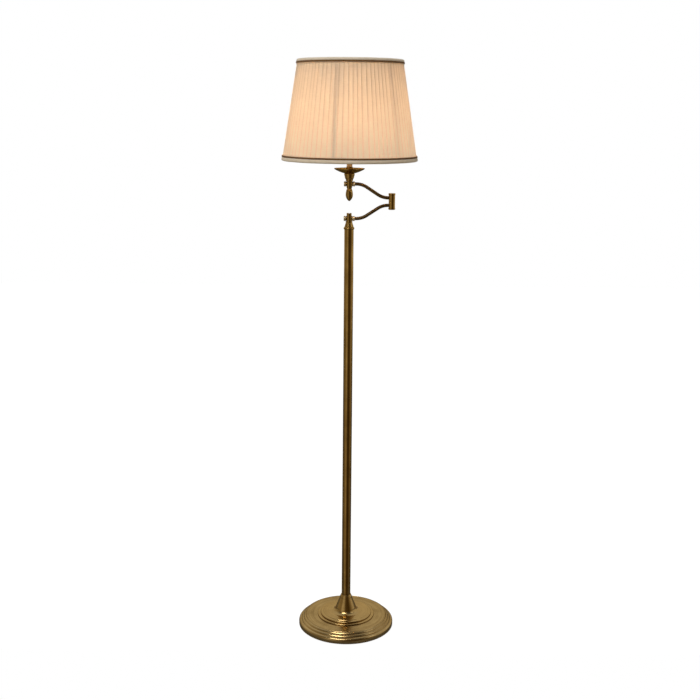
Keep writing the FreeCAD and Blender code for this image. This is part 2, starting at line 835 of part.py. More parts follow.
def knuckle(label, bore):
    """Half of the elbow barrel, its arm socket level with its own origin and facing the pole."""
    barrel = cylinder(
        f"{label}_barrel", "knuckle_radius", "knuckle_inner + knuckle_outer", z="-knuckle_outer")
    pin_hole = cylinder(
        f"{label}_pin_hole", bore, f"knuckle_inner + knuckle_outer + 2 * {PAST}",
        z=f"-knuckle_outer - {PAST}")
    socket = cylinder(
        f"{label}_socket", "arm_radius + thread_gap", "knuckle_radius",
        x="-knuckle_radius * 2 + socket_depth")
    turn(socket, FreeCAD.Vector(0, 1, 0), 90)
    lead_hole = cylinder(f"{label}_lead_hole", "arm_bore", "knuckle_radius", x="-knuckle_radius")
    turn(lead_hole, FreeCAD.Vector(0, 1, 0), 90)
    return cut(label, barrel, pin_hole, socket, lead_hole)


def elbow():
    """The elbow's pin, caps and washers, which all turn with the lower arm."""
    pin_foot = f"{LOWER_KNUCKLE} - knuckle_outer + elbow_spigot"
    pin_top = f"{ELBOW_TOP} + washer_thickness + elbow_cap_height / 2"
    pin = bind(
        sleeve("elbow_pin_blank", "stem_radius", "stem_bore", f"{pin_top} - ({pin_foot})"),
        x="elbow_offset", z=pin_foot)
    windows = []
    for place, level in (("lower", LOWER_KNUCKLE), ("upper", UPPER_KNUCKLE)):
        window = cylinder(
            f"elbow_pin_{place}_window", LEAD_HOLE, "stem_radius * 2",
            x="elbow_offset - stem_radius * 2", z=level)
        windows.append(turn(window, FreeCAD.Vector(0, 1, 0), 90))
    keep(cut("elbow_pin", pin, *windows))
    foot_side = Corner("elbow_cap_radius", "elbow_foot_round - elbow_cap_height")
    foot_edge = Corner("elbow_cap_radius - elbow_foot_round", "-elbow_cap_height")
    bottom = [
        Corner("0", "elbow_spigot"),
        Corner("0", "-elbow_cap_height"),
        foot_edge,
        quarter(foot_side, foot_edge),
        foot_side,
        Corner("elbow_cap_radius", "0"),
        Corner("stem_radius", "0"),
        Corner("stem_radius", "elbow_spigot"),
    ]
    bottom_cap = turned("elbow_bottom_cap", bottom)
    keep(bind(bottom_cap, x="elbow_offset", z=f"{LOWER_KNUCKLE} - knuckle_outer"))
    top = [Corner(THREAD_HOLE, "0"), Corner("elbow_cap_radius", "0")]
    top += rounded(
        Corner("elbow_cap_radius", "elbow_cap_height - elbow_cap_round"),
        Corner("elbow_cap_radius - elbow_cap_round", "elbow_cap_height"))
    top += [
        Corner("0", "elbow_cap_height"),
        Corner("0", "elbow_cap_height / 2 + bolt_gap"),
        Corner(THREAD_HOLE, "elbow_cap_height / 2 + bolt_gap"),
    ]
    top_cap = turned("elbow_top_cap", top)
    keep(bind(top_cap, x="elbow_offset", z=f"{ELBOW_TOP} + washer_thickness"))
    washers = [
        bind(
            sleeve(f"elbow_washer_{place}", "washer_radius", PIVOT_HOLE, "washer_thickness"),
            x="elbow_offset", z=level)
        for place, level in (("between", ELBOW_WASHER), ("over", ELBOW_TOP))
    ]
    keep(group("elbow_washers", washers))


def lower_arm():
    keep(bind(cross_block("lower_block"), z=LOWER_AXIS))
    keep(bind(end_cap("lower_end_cap"), z=LOWER_AXIS))
    keep(bind(arm_collar("lower_arm_collar"), z=LOWER_AXIS))
    keep(bind(arm_tube("lower_arm_tube"), z=LOWER_AXIS))
    keep(bind(arm_lead("lower_arm_lead"), z=LOWER_AXIS))
    keep(bind(knuckle("lower_knuckle", THREAD_HOLE), x="elbow_offset", z=LOWER_KNUCKLE))
    elbow()


def upper_arm():
    """The same arm turned over: it leaves the elbow level and climbs back over the pole."""
    over = FreeCAD.Vector(1, 0, 0)
    half_turn = FULL_TURN / 2
    upper_knuckle = knuckle("upper_knuckle", PIVOT_HOLE)
    turn(bind(upper_knuckle, x="elbow_offset", z=UPPER_KNUCKLE), over, half_turn)
    keep(upper_knuckle)
    keep(turn(bind(arm_tube("upper_arm_tube"), z=UPPER_AXIS), over, half_turn))
    keep(turn(bind(arm_lead("upper_arm_lead"), z=UPPER_AXIS), over, half_turn))
    keep(bind(arm_collar("upper_arm_collar"), z=UPPER_AXIS))
    keep(bind(end_cap("upper_end_cap"), z=UPPER_AXIS))
    keep(bind(cross_block("upper_block"), z=UPPER_AXIS))


# ---------------------------------------------------------------- head

def finial():
    """The drop under the upper block, screwed onto the foot of the head stem."""
    tip = "-finial_length"
    outline = [
        Corner(THREAD_HOLE, "0"),
        Corner("finial_flange_radius", "0"),
        Corner("finial_flange_radius", "-finial_flange_height"),
        Corner("finial_neck_radius", "-finial_neck_drop"),
        Through("finial_shoulder_radius", "-finial_shoulder_drop"),
        Corner("finial_radius", "-finial_belly_drop"),
        Through("finial_flank_radius", f"{tip} + finial_flank_rise"),
    ]
    outline += rounded(
        Corner("finial_point_radius", f"{tip} + finial_point_rise"),
        Corner("finial_tip_radius", tip))
    outline += [
        Corner("0", tip),
        Corner("0", "-finial_bore_depth"),
        Corner(THREAD_HOLE, "-finial_bore_depth"),
    ]
    keep(bind(turned("finial", outline), z=FINIAL_TOP))


def vase():
    """The turned vase between the upper block and the drip dish."""
    bead_foot = "vase_height - vase_bead_height"
    outline = [
        Corner(THREAD_HOLE, "0"),
        Corner("vase_foot_radius", "0"),
        Through("vase_waist_radius", "vase_waist_height"),
        Corner("vase_flare_radius", "vase_flare_height"),
        Corner("vase_neck_radius", bead_foot),
        Through("vase_bead_radius", "vase_height - vase_bead_height / 2"),
        Corner("vase_neck_radius", "vase_height"),
        Corner(THREAD_HOLE, "vase_height"),
    ]
    keep(bind(turned("vase", outline), z=VASE))


def drip_dish():
    """The shallow spun dish with an upright lip."""
    lip_foot = "dish_height - dish_lip"
    outline = [
        Corner(THREAD_HOLE, "0"),
        Corner("dish_floor_radius", "0"),
        Through("dish_belly_radius", "dish_belly_height"),
        Corner("dish_radius - dish_lip_width", lip_foot),
        Corner("dish_radius", "dish_height"),
        Corner("dish_radius - dish_wall", "dish_height"),
        Corner("dish_radius - dish_lip_width - dish_wall", f"{lip_foot} + dish_wall"),
        Through("dish_belly_radius - dish_wall / 2", "dish_belly_height + dish_wall"),
        Corner("dish_floor_radius", "dish_wall"),
        Corner(THREAD_HOLE, "dish_wall"),
    ]
    keep(bind(turned("drip_dish", outline), z=DISH))


def neck_cup():
    """The small collar in the dish that the neck tube stands in."""
    outline = [
        Corner(THREAD_HOLE, "0"),
        Corner("cup_radius", "0"),
        Corner("cup_radius", "cup_foot_height / 2"),
        quarter(
            Corner("cup_neck_radius", "cup_foot_height * 2"),
            Corner("cup_radius", "cup_foot_height / 2")),
        Corner("cup_neck_radius", "cup_foot_height * 2"),
        Corner("cup_neck_radius", "cup_height"),
        Corner("neck_radius + thread_gap", "cup_height"),
        Corner("neck_radius + thread_gap", "cup_floor"),
        Corner(THREAD_HOLE, "cup_floor"),
    ]
    keep(bind(turned("neck_cup", outline), z=CUP))


def holder_cap():
    """The bell that closes the bottom of the lampholder and screws onto the head stem."""
    foot = Corner("holder_foot_radius", "holder_foot_height")
    shoulder = Corner("holder_radius", "holder_shoulder_height")
    outline = [
        Corner(THREAD_HOLE, "0"),
        Corner("holder_foot_radius", "0"),
        foot,
        quarter(shoulder, foot),
        shoulder,
        Corner("holder_radius", "holder_cap_height"),
        Corner("holder_radius - holder_wall", "holder_cap_height"),
        Corner("holder_radius - holder_wall", "holder_shoulder_height"),
        Corner("holder_foot_radius", "holder_foot_thickness"),
        Corner(THREAD_HOLE, "holder_foot_thickness"),
    ]
    keep(bind(turned("holder_cap", outline), z=HOLDER))


def lampholder():
    holder_cap()
    shell = sleeve(
        "holder_shell", "holder_radius", "holder_radius - holder_wall", "holder_shell_length")
    keep(bind(shell, z=SHELL))
    core_radius = "holder_radius - holder_wall - thread_gap * 2"
    core = sleeve("holder_core", core_radius, "contact_bore", "core_thickness")
    keep(bind(core, z=CORE))
    sleeve_bore = "bulb_cap_radius + bulb_cap_gap"
    contact_sleeve = sleeve(
        "contact_sleeve", f"{sleeve_bore} + sleeve_wall", sleeve_bore,
        "contact_height + bulb_cap_height")
    keep(bind(contact_sleeve, z=f"{CORE} + core_thickness"))
    nut_bore = "holder_radius + thread_gap"
    nuts = [
        bind(sleeve(f"shade_nut_{place}", "shade_nut_radius", nut_bore, "shade_nut_height"), z=level)
        for place, level in (
            ("under", f"{FITTER} - shade_nut_height"), ("over", f"{FITTER} + fitter_thickness"))
    ]
    keep(group("shade_nuts", nuts))


def bulb():
    """A round frosted bulb with a screw cap."""
    cap = [
        Corner("0", "-contact_height"),
        Corner("contact_bore", "-contact_height"),
        Corner("bulb_cap_radius - contact_height", "0"),
        Corner("bulb_cap_radius", "contact_height"),
        Corner("bulb_cap_radius", "bulb_cap_height"),
        Corner("0", "bulb_cap_height"),
    ]
    keep(bind(turned("bulb_cap", cap), z=BULB))
    shoulder_drop = "sqrt(globe_radius ^ 2 - globe_shoulder_radius ^ 2)"
    inner_radius = "globe_radius - glass_wall"
    inner_shoulder = "globe_shoulder_radius - glass_wall"
    inner_drop = f"sqrt(({inner_radius}) ^ 2 - ({inner_shoulder}) ^ 2)"
    glass = [
        Corner("bulb_cap_radius - glass_wall", "0"),
        Corner("bulb_cap_radius", "0"),
        Corner("bulb_cap_radius", "glass_neck_height"),
        Through("glass_throat_radius", "glass_throat_height"),
        Corner("globe_shoulder_radius", f"globe_height - {shoulder_drop}"),
        Through("globe_radius", "globe_height"),
        Corner("0", "globe_height + globe_radius"),
        Corner("0", f"globe_height + {inner_radius}"),
        Through(inner_radius, "globe_height"),
        Corner(inner_shoulder, f"globe_height - {inner_drop}"),
        Through("glass_throat_radius - glass_wall", "glass_throat_height"),
        Corner("bulb_cap_radius - glass_wall", "glass_neck_height"),
    ]
    keep(bind(turned("bulb_glass", glass), z=GLASS))


def head():
    finial()
    stem_foot = f"{FINIAL_TOP} - finial_bore_depth + bolt_gap"
    stem_top = f"{HOLDER} + holder_foot_thickness"
    stem = sleeve("head_stem_blank", "stem_radius", "stem_bore", f"{stem_top} - ({stem_foot})")
    bind(stem, z=stem_foot)
    window = cylinder("head_stem_window", LEAD_HOLE, "stem_radius * 2", z=UPPER_AXIS)
    turn(window, FreeCAD.Vector(0, 1, 0), 90)
    keep(cut("head_stem", stem, window))
    washers = [
        bind(sleeve(f"head_washer_{place}", "washer_radius", PIVOT_HOLE, "washer_thickness"), z=level)
        for place, level in (("under", FINIAL_TOP), ("over", f"{UPPER_BLOCK} + block_height"))
    ]
    keep(group("head_washers", washers))
    vase()
    drip_dish()
    neck_cup()
    neck = sleeve("neck_tube", "neck_radius", "neck_bore", "neck_length")
    keep(bind(neck, z=NECK))
    lead_foot = f"{UPPER_AXIS} + lead_radius"
    lead = cylinder("head_lead", "lead_radius", f"{CORE} - ({lead_foot})", z=lead_foot)
    keep(lead)
    lampholder()
    bulb()


# ---------------------------------------------------------------- shade

SLOPE = "(shade_bottom_radius - shade_top_radius) / shade_height"
TILT = f"sqrt(1 + ({SLOPE}) ^ 2)"
WIRE_INSET = f"shade_thickness + wire_gap + wire_radius * {TILT}"
BRAID_FACE = "-braid_gap - braid_thickness"
STRIPE_FACE = f"{BRAID_FACE} - braid_gap - stripe_thickness"


def cone(height, inset="0"):
    """The shade's radius at a height above its bottom edge, less an inset."""
    return f"shade_bottom_radius - ({height}) * {SLOPE} - ({inset})"


def cone_ring(label, bottom, top, face, thickness):
    """A band that follows the shade's slope, its outer face at the given inset."""
    inner = f"{face} + {thickness}"
    outline = [
        Corner(cone(bottom, inner), bottom),
        Corner(cone(bottom, face), bottom),
        Corner(cone(top, face), top),
        Corner(cone(top, inner), top),
    ]
    return turned(label, outline)


def wire_ring(label, height):
    ring = doc.addObject("Part::Torus", label)
    return bind(
        ring, Radius1=cone(height, WIRE_INSET), Radius2="wire_radius", z=f"{SHADE} + {height}")


def shade_rods(label, path, count, first_turn):
    """Straight wires of the frame, evenly spaced about the axis."""
    wires = []
    for place in range(count):
        wire = rod(f"{label}_{place + 1}", path, "wire_radius")
        bind(wire, z=SHADE)
        angle = first_turn + FULL_TURN * place / count
        wires.append(turn(wire, FreeCAD.Vector(0, 0, 1), angle))
    return keep(group(label, wires))


def shade():
    top_ring = "shade_height - ring_inset"
    fitter = sleeve("fitter_ring", "fitter_radius", "holder_radius + bolt_gap", "fitter_thickness")
    keep(bind(fitter, z=FITTER))
    keep(wire_ring("shade_bottom_ring", "ring_inset"))
    keep(wire_ring("shade_top_ring", top_ring))
    weld = f"(wire_radius + weld_gap) / {TILT}"
    strut = [
        Corner(cone(f"ring_inset + {weld}", WIRE_INSET), f"ring_inset + {weld}"),
        Corner(cone(f"{top_ring} - {weld}", WIRE_INSET), f"{top_ring} - {weld}"),
    ]
    shade_rods("shade_struts", strut, STRUT_COUNT, STRUT_TURN)
    spoke = [
        Corner(cone("ring_inset", f"{WIRE_INSET} + wire_radius + wire_gap"), "ring_inset"),
        Corner("fitter_radius + spoke_gap", "shade_drop + fitter_thickness / 2"),
    ]
    shade_rods("shade_spokes", spoke, SPOKE_COUNT, SPOKE_TURN)
    lining_face = f"shade_thickness + 2 * wire_gap + 2 * wire_radius * {TILT}"
    lining = cone_ring(
        "shade_lining", "lining_inset", "shade_height - lining_inset", lining_face,
        "lining_thickness")
    keep(bind(lining, z=SHADE))
    keep(bind(cone_ring("shade_cover", "0", "shade_height", "0", "shade_thickness"), z=SHADE))
    bottom_stripe_head = "bottom_stripe_inset + stripe_height"
    top_stripe_head = "shade_height - top_stripe_inset"
    top_stripe_foot = f"{top_stripe_head} - stripe_height"
    bands = (
        ("bottom", "0", f"{bottom_stripe_head} + braid_edge", "bottom_stripe_inset",
         bottom_stripe_head),
        ("top", f"{top_stripe_foot} - braid_edge", "shade_height", top_stripe_foot,
         top_stripe_head),
    )
    for place, foot, head_edge, stripe_foot, stripe_head in bands:
        braid = cone_ring(f"{place}_braid", foot, head_edge, BRAID_FACE, "braid_thickness")
        keep(bind(braid, z=SHADE))
        stripe = cone_ring(
            f"{place}_stripe", stripe_foot, stripe_head, STRIPE_FACE, "stripe_thickness")
        keep(bind(stripe, z=SHADE))


# ---------------------------------------------------------------- building and writing

def check(thing):
    """Stops on an object that failed, or a piece with no valid solid."""
    if any(word in thing.State for word in ("Invalid", "Error")):
        raise RuntimeError(f"{thing.Label} failed: {thing.State}")


def check_node(node):
    shape = node.Shape
    if shape.isNull() or not shape.isValid() or not shape.Solids:
        raise RuntimeError(f"{node.Label} has no valid solid")


base()
pole()
lower_arm()
upper_arm()
head()
shade()
doc.recompute()
for thing in doc.Objects:
    check(thing)
for node in nodes:
    check_node(node)
os.makedirs("parts", exist_ok=True)
for node in nodes:
    node.Shape.exportStep(os.path.join("parts", f"{node.Label}.step"))
    print(f"{node.Label}: {len(node.Shape.Solids)} solid(s), {node.Shape.Volume / 1000:.2f} cm3")
print(f"{len(nodes)} nodes")
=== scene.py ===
import math
import random

import bpy
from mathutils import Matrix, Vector, noise

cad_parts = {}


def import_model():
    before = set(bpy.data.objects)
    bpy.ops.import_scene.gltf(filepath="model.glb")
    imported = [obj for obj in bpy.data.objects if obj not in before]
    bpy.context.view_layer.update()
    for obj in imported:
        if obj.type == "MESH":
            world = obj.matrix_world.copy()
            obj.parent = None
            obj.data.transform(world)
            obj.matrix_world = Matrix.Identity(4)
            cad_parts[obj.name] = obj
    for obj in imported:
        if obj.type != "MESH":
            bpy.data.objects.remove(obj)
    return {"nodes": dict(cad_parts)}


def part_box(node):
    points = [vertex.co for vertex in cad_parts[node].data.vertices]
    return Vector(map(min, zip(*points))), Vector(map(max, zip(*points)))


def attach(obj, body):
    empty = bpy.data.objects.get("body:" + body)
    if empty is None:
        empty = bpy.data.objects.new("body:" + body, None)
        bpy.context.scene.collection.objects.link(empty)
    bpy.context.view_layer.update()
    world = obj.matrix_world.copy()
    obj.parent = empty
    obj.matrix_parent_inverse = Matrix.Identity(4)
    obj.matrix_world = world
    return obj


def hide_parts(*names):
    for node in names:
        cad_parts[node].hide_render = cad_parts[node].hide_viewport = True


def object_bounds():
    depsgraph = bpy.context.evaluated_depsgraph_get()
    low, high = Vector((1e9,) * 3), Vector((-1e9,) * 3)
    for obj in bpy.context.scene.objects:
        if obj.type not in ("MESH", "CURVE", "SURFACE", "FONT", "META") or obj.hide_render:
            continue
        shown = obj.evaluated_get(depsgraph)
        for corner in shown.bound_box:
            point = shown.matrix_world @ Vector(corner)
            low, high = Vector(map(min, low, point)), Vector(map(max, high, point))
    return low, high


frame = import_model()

# A lit bridge floor lamp: antique brass with a knife-pleated shade. Metres, +Z up, the pole's
# axis at the origin, both arms along +X, and the camera looks along +Y.

MM = 0.001
FULL_TURN = 2 * math.pi
WHITE = (1.0, 1.0, 1.0)
cad_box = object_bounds()


# ---------------------------------------------------------------- node trees

class Shader:
    """The nodes of one material or of the world, with short calls that add and join them."""

    def __init__(self, owner, output="OutputMaterial"):
        owner.use_nodes = True
        self.owner = owner
        self.nodes = owner.node_tree.nodes
        self.links = owner.node_tree.links
        self.nodes.clear()
        self.output = self.add(output)

    def feed(self, socket, source):
        if isinstance(source, bpy.types.NodeSocket):
            self.links.new(source, socket)
        elif hasattr(source, "__len__") and len(source) == 3 and socket.type == "RGBA":
            socket.default_value = (*source, 1.0)
        else:
            socket.default_value = source

    def add(self, kind, settings=None, **inputs):
        """A new node; an input's name has an underscore for each space."""
        node = self.nodes.new(f"ShaderNode{kind}")
        for name, setting in (settings or {}).items():
            setattr(node, name, setting)
        for name, source in inputs.items():
            self.feed(node.inputs[name.replace("_", " ")], source)
        return node

    def calc(self, operation, first, second=0.0, clamp=False):
        node = self.add("Math", {"operation": operation, "use_clamp": clamp})
        self.feed(node.inputs[0], first)
        self.feed(node.inputs[1], second)
        return node.outputs[0]

    def mix(self, share, first, second):
        """Two colours, mixed."""
        node = self.add("Mix", {"data_type": "RGBA"})
        self.feed(node.inputs["Factor"], share)
        colours = [socket for socket in node.inputs if socket.type == "RGBA"]
        self.feed(colours[0], first)
        self.feed(colours[1], second)
        return next(socket for socket in node.outputs if socket.type == "RGBA")

    def spread(self, source, low, high, to_low=0.0, to_high=1.0):
        """Stretches a value from one range onto another and stops at its ends."""
        node = self.add(
            "MapRange", Value=source, From_Min=low, From_Max=high, To_Min=to_low, To_Max=to_high)
        return node.outputs["Result"]

    def vector(self, x, y, z):
        return self.add("CombineXYZ", X=x, Y=y, Z=z).outputs[0]

    def scaled(self, place, x, y, z):
        """A place with each axis stretched by its own factor."""
        node = self.add("VectorMath", {"operation": "MULTIPLY"})
        self.feed(node.inputs[0], place)
        self.feed(node.inputs[1], (x, y, z))
        return node.outputs[0]

    def place(self, axis=(0.0, 0.0)):
        """The place on the piece, in metres from an upright axis."""
        node = self.add("VectorMath", {"operation": "SUBTRACT"})
        self.feed(node.inputs[0], self.add("TexCoord").outputs["Object"])
        self.feed(node.inputs[1], (*axis, 0.0))
        return node.outputs[0]

    def round_place(self, axis=(0.0, 0.0)):
        """The angle about an upright axis, the distance from it and the height."""
        split = self.add("SeparateXYZ", Vector=self.place(axis))
        x, y, z = split.outputs
        angle = self.calc("ARCTAN2", y, x)
        across = self.calc("SQRT", self.calc(
            "ADD", self.calc("MULTIPLY", x, x), self.calc("MULTIPLY", y, y)))
        return angle, across, z

    def noise(self, place, scale, detail=2.0, roughness=0.5):
        node = self.add(
            "TexNoise", Vector=place, Scale=scale, Detail=detail, Roughness=roughness)
        return node.outputs["Fac"]

    def bump(self, height, strength, depth, normal=None):
        node = self.add("Bump", Height=height, Strength=strength, Distance=depth)
        if normal is not None:
            self.feed(node.inputs["Normal"], normal)
        return node.outputs[0]

    def mix_surfaces(self, share, first, second):
        node = self.add("MixShader", Fac=share)
        self.feed(node.inputs[1], first)
        self.feed(node.inputs[2], second)
        return node.outputs[0]

    def add_surfaces(self, first, second):
        node = self.add("AddShader")
        self.feed(node.inputs[0], first)
        self.feed(node.inputs[1], second)
        return node.outputs[0]

    def finish(self, surface):
        self.feed(self.output.inputs["Surface"], surface)
        return self.owner


def shader(name):
    return Shader(bpy.data.materials.new(name))


def darker(colour, share):
    return tuple(channel * share for channel in colour)


# ---------------------------------------------------------------- brass

BRASS_BRIGHT = (0.50, 0.325, 0.105)
BRASS_DARK = (0.135, 0.062, 0.004)
PATINA = (0.030, 0.014, 0.003)
BRASS_AT_EDGE = (0.62, 0.52, 0.36)
EDGE_RADIUS = 0.4 * MM
RECESS_REACH = 4 * MM
WIDE_STREAK_DEPTH = 0.08 * MM
FINE_STREAK_DEPTH = 0.05 * MM
SPUN_RUN = 0.0016
DRAWN_RUN = 0.012
ARM_RUN = 0.03


def grain_place(look, grain, axis):
    """Where to look up streaks: long the way that the tool or the die went, short across it."""
    if grain == "spun":
        angle, across, height = look.round_place(axis)
        profile = look.calc("ADD", across, height)
        turn_x = look.calc("MULTIPLY", look.calc("COSINE", angle), SPUN_RUN)
        turn_y = look.calc("MULTIPLY", look.calc("SINE", angle), SPUN_RUN)
        return look.vector(profile, turn_x, turn_y)
    if grain == "drawn":
        return look.scaled(look.place(axis), 1.0, 1.0, DRAWN_RUN)
    return look.scaled(look.place(axis), ARM_RUN, 1.0, 1.0)


def brass(
        name, grain, axis=(0.0, 0.0), bright=BRASS_BRIGHT, dark=BRASS_DARK, rough=0.2, relief=0.08,
        tarnish=0.72, uneven=0.42, coat=0.3, edges=True):
    """Lacquered antique brass: streaks of the making, brown clouds, dark recesses."""
    look = shader(name)
    place = look.place(axis)
    streak_place = grain_place(look, grain, axis)
    wide_streaks = look.noise(streak_place, 420.0, 3.0, 0.6)
    fine_streaks = look.noise(streak_place, 2600.0, 2.0, 0.7)
    clouds = look.noise(place, 26.0, 4.0, 0.6)
    specks = look.noise(place, 900.0, 2.0)
    recess = look.add(
        "AmbientOcclusion", {"samples": 4}, Distance=RECESS_REACH).outputs["AO"]
    tone = look.calc(
        "ADD", look.spread(clouds, 0.32, 0.70, 0.0, uneven),
        look.spread(wide_streaks, 0.35, 0.7, 0.0, uneven))
    colour = look.mix(tone, bright, dark)
    colour = look.mix(look.spread(fine_streaks, 0.3, 0.75, 0.0, 0.16), colour, dark)
    colour = look.mix(look.spread(recess, 0.80, 0.35, 0.0, tarnish), colour, PATINA)
    colour = look.mix(look.spread(specks, 0.70, 0.82, 0.0, 0.25), colour, PATINA)
    roughness = look.calc(
        "ADD", look.spread(clouds, 0.3, 0.7, rough - 0.04, rough + 0.07),
        look.spread(wide_streaks, 0.3, 0.7, -0.03, 0.05))
    roughness = look.calc("ADD", roughness, look.spread(recess, 0.8, 0.3, 0.0, 0.25))
    soft_edge = look.add("Bevel", {"samples": 4}, Radius=EDGE_RADIUS).outputs[0] if edges else None
    normal = look.bump(fine_streaks, relief, FINE_STREAK_DEPTH, soft_edge)
    normal = look.bump(wide_streaks, relief, WIDE_STREAK_DEPTH, normal)
    metal = look.add(
        "BsdfPrincipled", Base_Color=colour, Metallic=1.0, Roughness=roughness, Normal=normal,
        Specular_Tint=BRASS_AT_EDGE, Coat_Weight=coat, Coat_Roughness=0.16)
    return look.finish(metal.outputs[0])


# ---------------------------------------------------------------- plain solids' materials

def plain_metal(name, colour, rough):
    """Turned steel or plated metal with tool marks and a few stains."""
    look = shader(name)
    marks = look.noise(grain_place(look, "spun", (0.0, 0.0)), 600.0, 3.0, 0.65)
    stains = look.noise(look.place(), 90.0, 4.0)
    tint = look.mix(look.spread(stains, 0.45, 0.75, 0.0, 0.5), colour, darker(colour, 0.55))
    roughness = look.spread(marks, 0.3, 0.7, rough - 0.07, rough + 0.1)
    metal = look.add(
        "BsdfPrincipled", Base_Color=tint, Metallic=1.0, Roughness=roughness,
        Normal=look.bump(marks, 0.2, 0.06 * MM))
    return look.finish(metal.outputs[0])


def cast_iron():
    look = shader("cast_iron")
    grit = look.noise(look.place(), 700.0, 5.0, 0.7)
    clouds = look.noise(look.place(), 45.0, 3.0)
    colour = look.mix(look.spread(clouds, 0.35, 0.7), (0.030, 0.029, 0.028), (0.062, 0.050, 0.042))
    body = look.add(
        "BsdfPrincipled", Base_Color=colour, Metallic=0.35,
        Roughness=look.spread(grit, 0.3, 0.7, 0.55, 0.8), Normal=look.bump(grit, 0.6, 0.4 * MM))
    return look.finish(body.outputs[0])


def moulded(name, colour, rough):
    """A moulded or pressed piece with a fine grain and faint clouds in its colour."""
    look = shader(name)
    fine = look.noise(look.place(), 1500.0, 3.0, 0.6)
    clouds = look.noise(look.place(), 60.0, 3.0)
    tint = look.mix(look.spread(clouds, 0.35, 0.7, 0.0, 0.6), colour, darker(colour, 0.72))
    body = look.add(
        "BsdfPrincipled", Base_Color=tint,
        Roughness=look.spread(fine, 0.3, 0.7, rough - 0.06, rough + 0.08),
        Normal=look.bump(fine, 0.35, 0.04 * MM))
    return look.finish(body.outputs[0])


def porcelain():
    look = shader("porcelain")
    glaze = look.noise(look.place(), 160.0, 2.0)
    specks = look.noise(look.place(), 1200.0, 2.0)
    colour = look.mix(look.spread(specks, 0.7, 0.8, 0.0, 0.5), (0.83, 0.81, 0.76), (0.42, 0.36, 0.29))
    body = look.add(
        "BsdfPrincipled", Base_Color=colour, Roughness=look.spread(glaze, 0.3, 0.7, 0.08, 0.2),
        Normal=look.bump(glaze, 0.15, 0.2 * MM), Coat_Weight=0.6, Coat_Roughness=0.05)
    return look.finish(body.outputs[0])


def painted_wire(name, paint):
    look = shader(name)
    runs = look.noise(look.place(), 240.0, 3.0)
    rust = look.noise(look.place(), 75.0, 5.0, 0.7)
    colour = look.mix(look.spread(rust, 0.66, 0.74), paint, (0.40, 0.24, 0.13))
    body = look.add(
        "BsdfPrincipled", Base_Color=colour, Roughness=look.spread(runs, 0.3, 0.7, 0.32, 0.5),
        Normal=look.bump(runs, 0.3, 0.1 * MM))
    return look.finish(body.outputs[0])


# ---------------------------------------------------------------- bulb, cloth with its painted glow, and trim

GLOW_COLOUR = (1.0, 0.73, 0.47)
GLOW_STRENGTH = 22.0
RIM_GLOW = 0.72
NECK_GLOW = 0.04
CROWN_GLOW = 0.6
DIM_BELOW = 0.95
FULL_ABOVE = 0.65


def opal_glass():
    """The lit bulb: a little dimmer at its rim and crown, and dim at the neck, which the cap shades."""
    look = shader("opal_glass")
    low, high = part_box("bulb_glass")
    globe = high.x
    centre = high.z - globe
    _, _, height = look.round_place()
    facing = look.add("LayerWeight", Blend=0.3).outputs["Facing"]
    frost = look.noise(look.place(), 130.0, 3.0)
    shine = look.calc(
        "MULTIPLY", look.spread(facing, 0.0, 1.0, 1.0, RIM_GLOW),
        look.spread(frost, 0.3, 0.7, 0.96, 1.04))
    shine = look.calc("MULTIPLY", shine, look.spread(
        height, centre - DIM_BELOW * globe, centre - FULL_ABOVE * globe, NECK_GLOW, 1.0))
    shine = look.calc("MULTIPLY", shine, look.spread(height, centre, high.z, 1.0, CROWN_GLOW))
    body = look.add(
        "BsdfPrincipled", Base_Color=(0.90, 0.88, 0.84), Roughness=0.22, Emission_Color=GLOW_COLOUR,
        Emission_Strength=look.calc("MULTIPLY", shine, GLOW_STRENGTH))
    return look.finish(body.outputs[0])


def weave(look, across, height, pitch):
    """Threads over and under, from 0 in the gaps to 1 on the crowns."""
    turns = FULL_TURN / pitch
    warp = look.calc("SINE", look.calc("MULTIPLY", across, turns))
    weft = look.calc("SINE", look.calc("MULTIPLY", height, turns))
    crossing = look.calc("MULTIPLY", warp, weft)
    return look.spread(crossing, -1.0, 1.0)


# Painted shade along the pleats: a darker colour is mixed into the cloth where the mesh's fold layer is
# high.
PAINTED_PLEAT_SHADE_LAYER = "fold"
PAINTED_PLEAT_SHADE = (0.29, 0.215, 0.125)
CLOTH_RELIEF = 0.10 * MM
TAPE_RELIEF = 0.16 * MM
TAPE_THREADS = 0.8 * MM
HEM_BLUR = 0.4 * MM
HEM_SHARE = 0.65


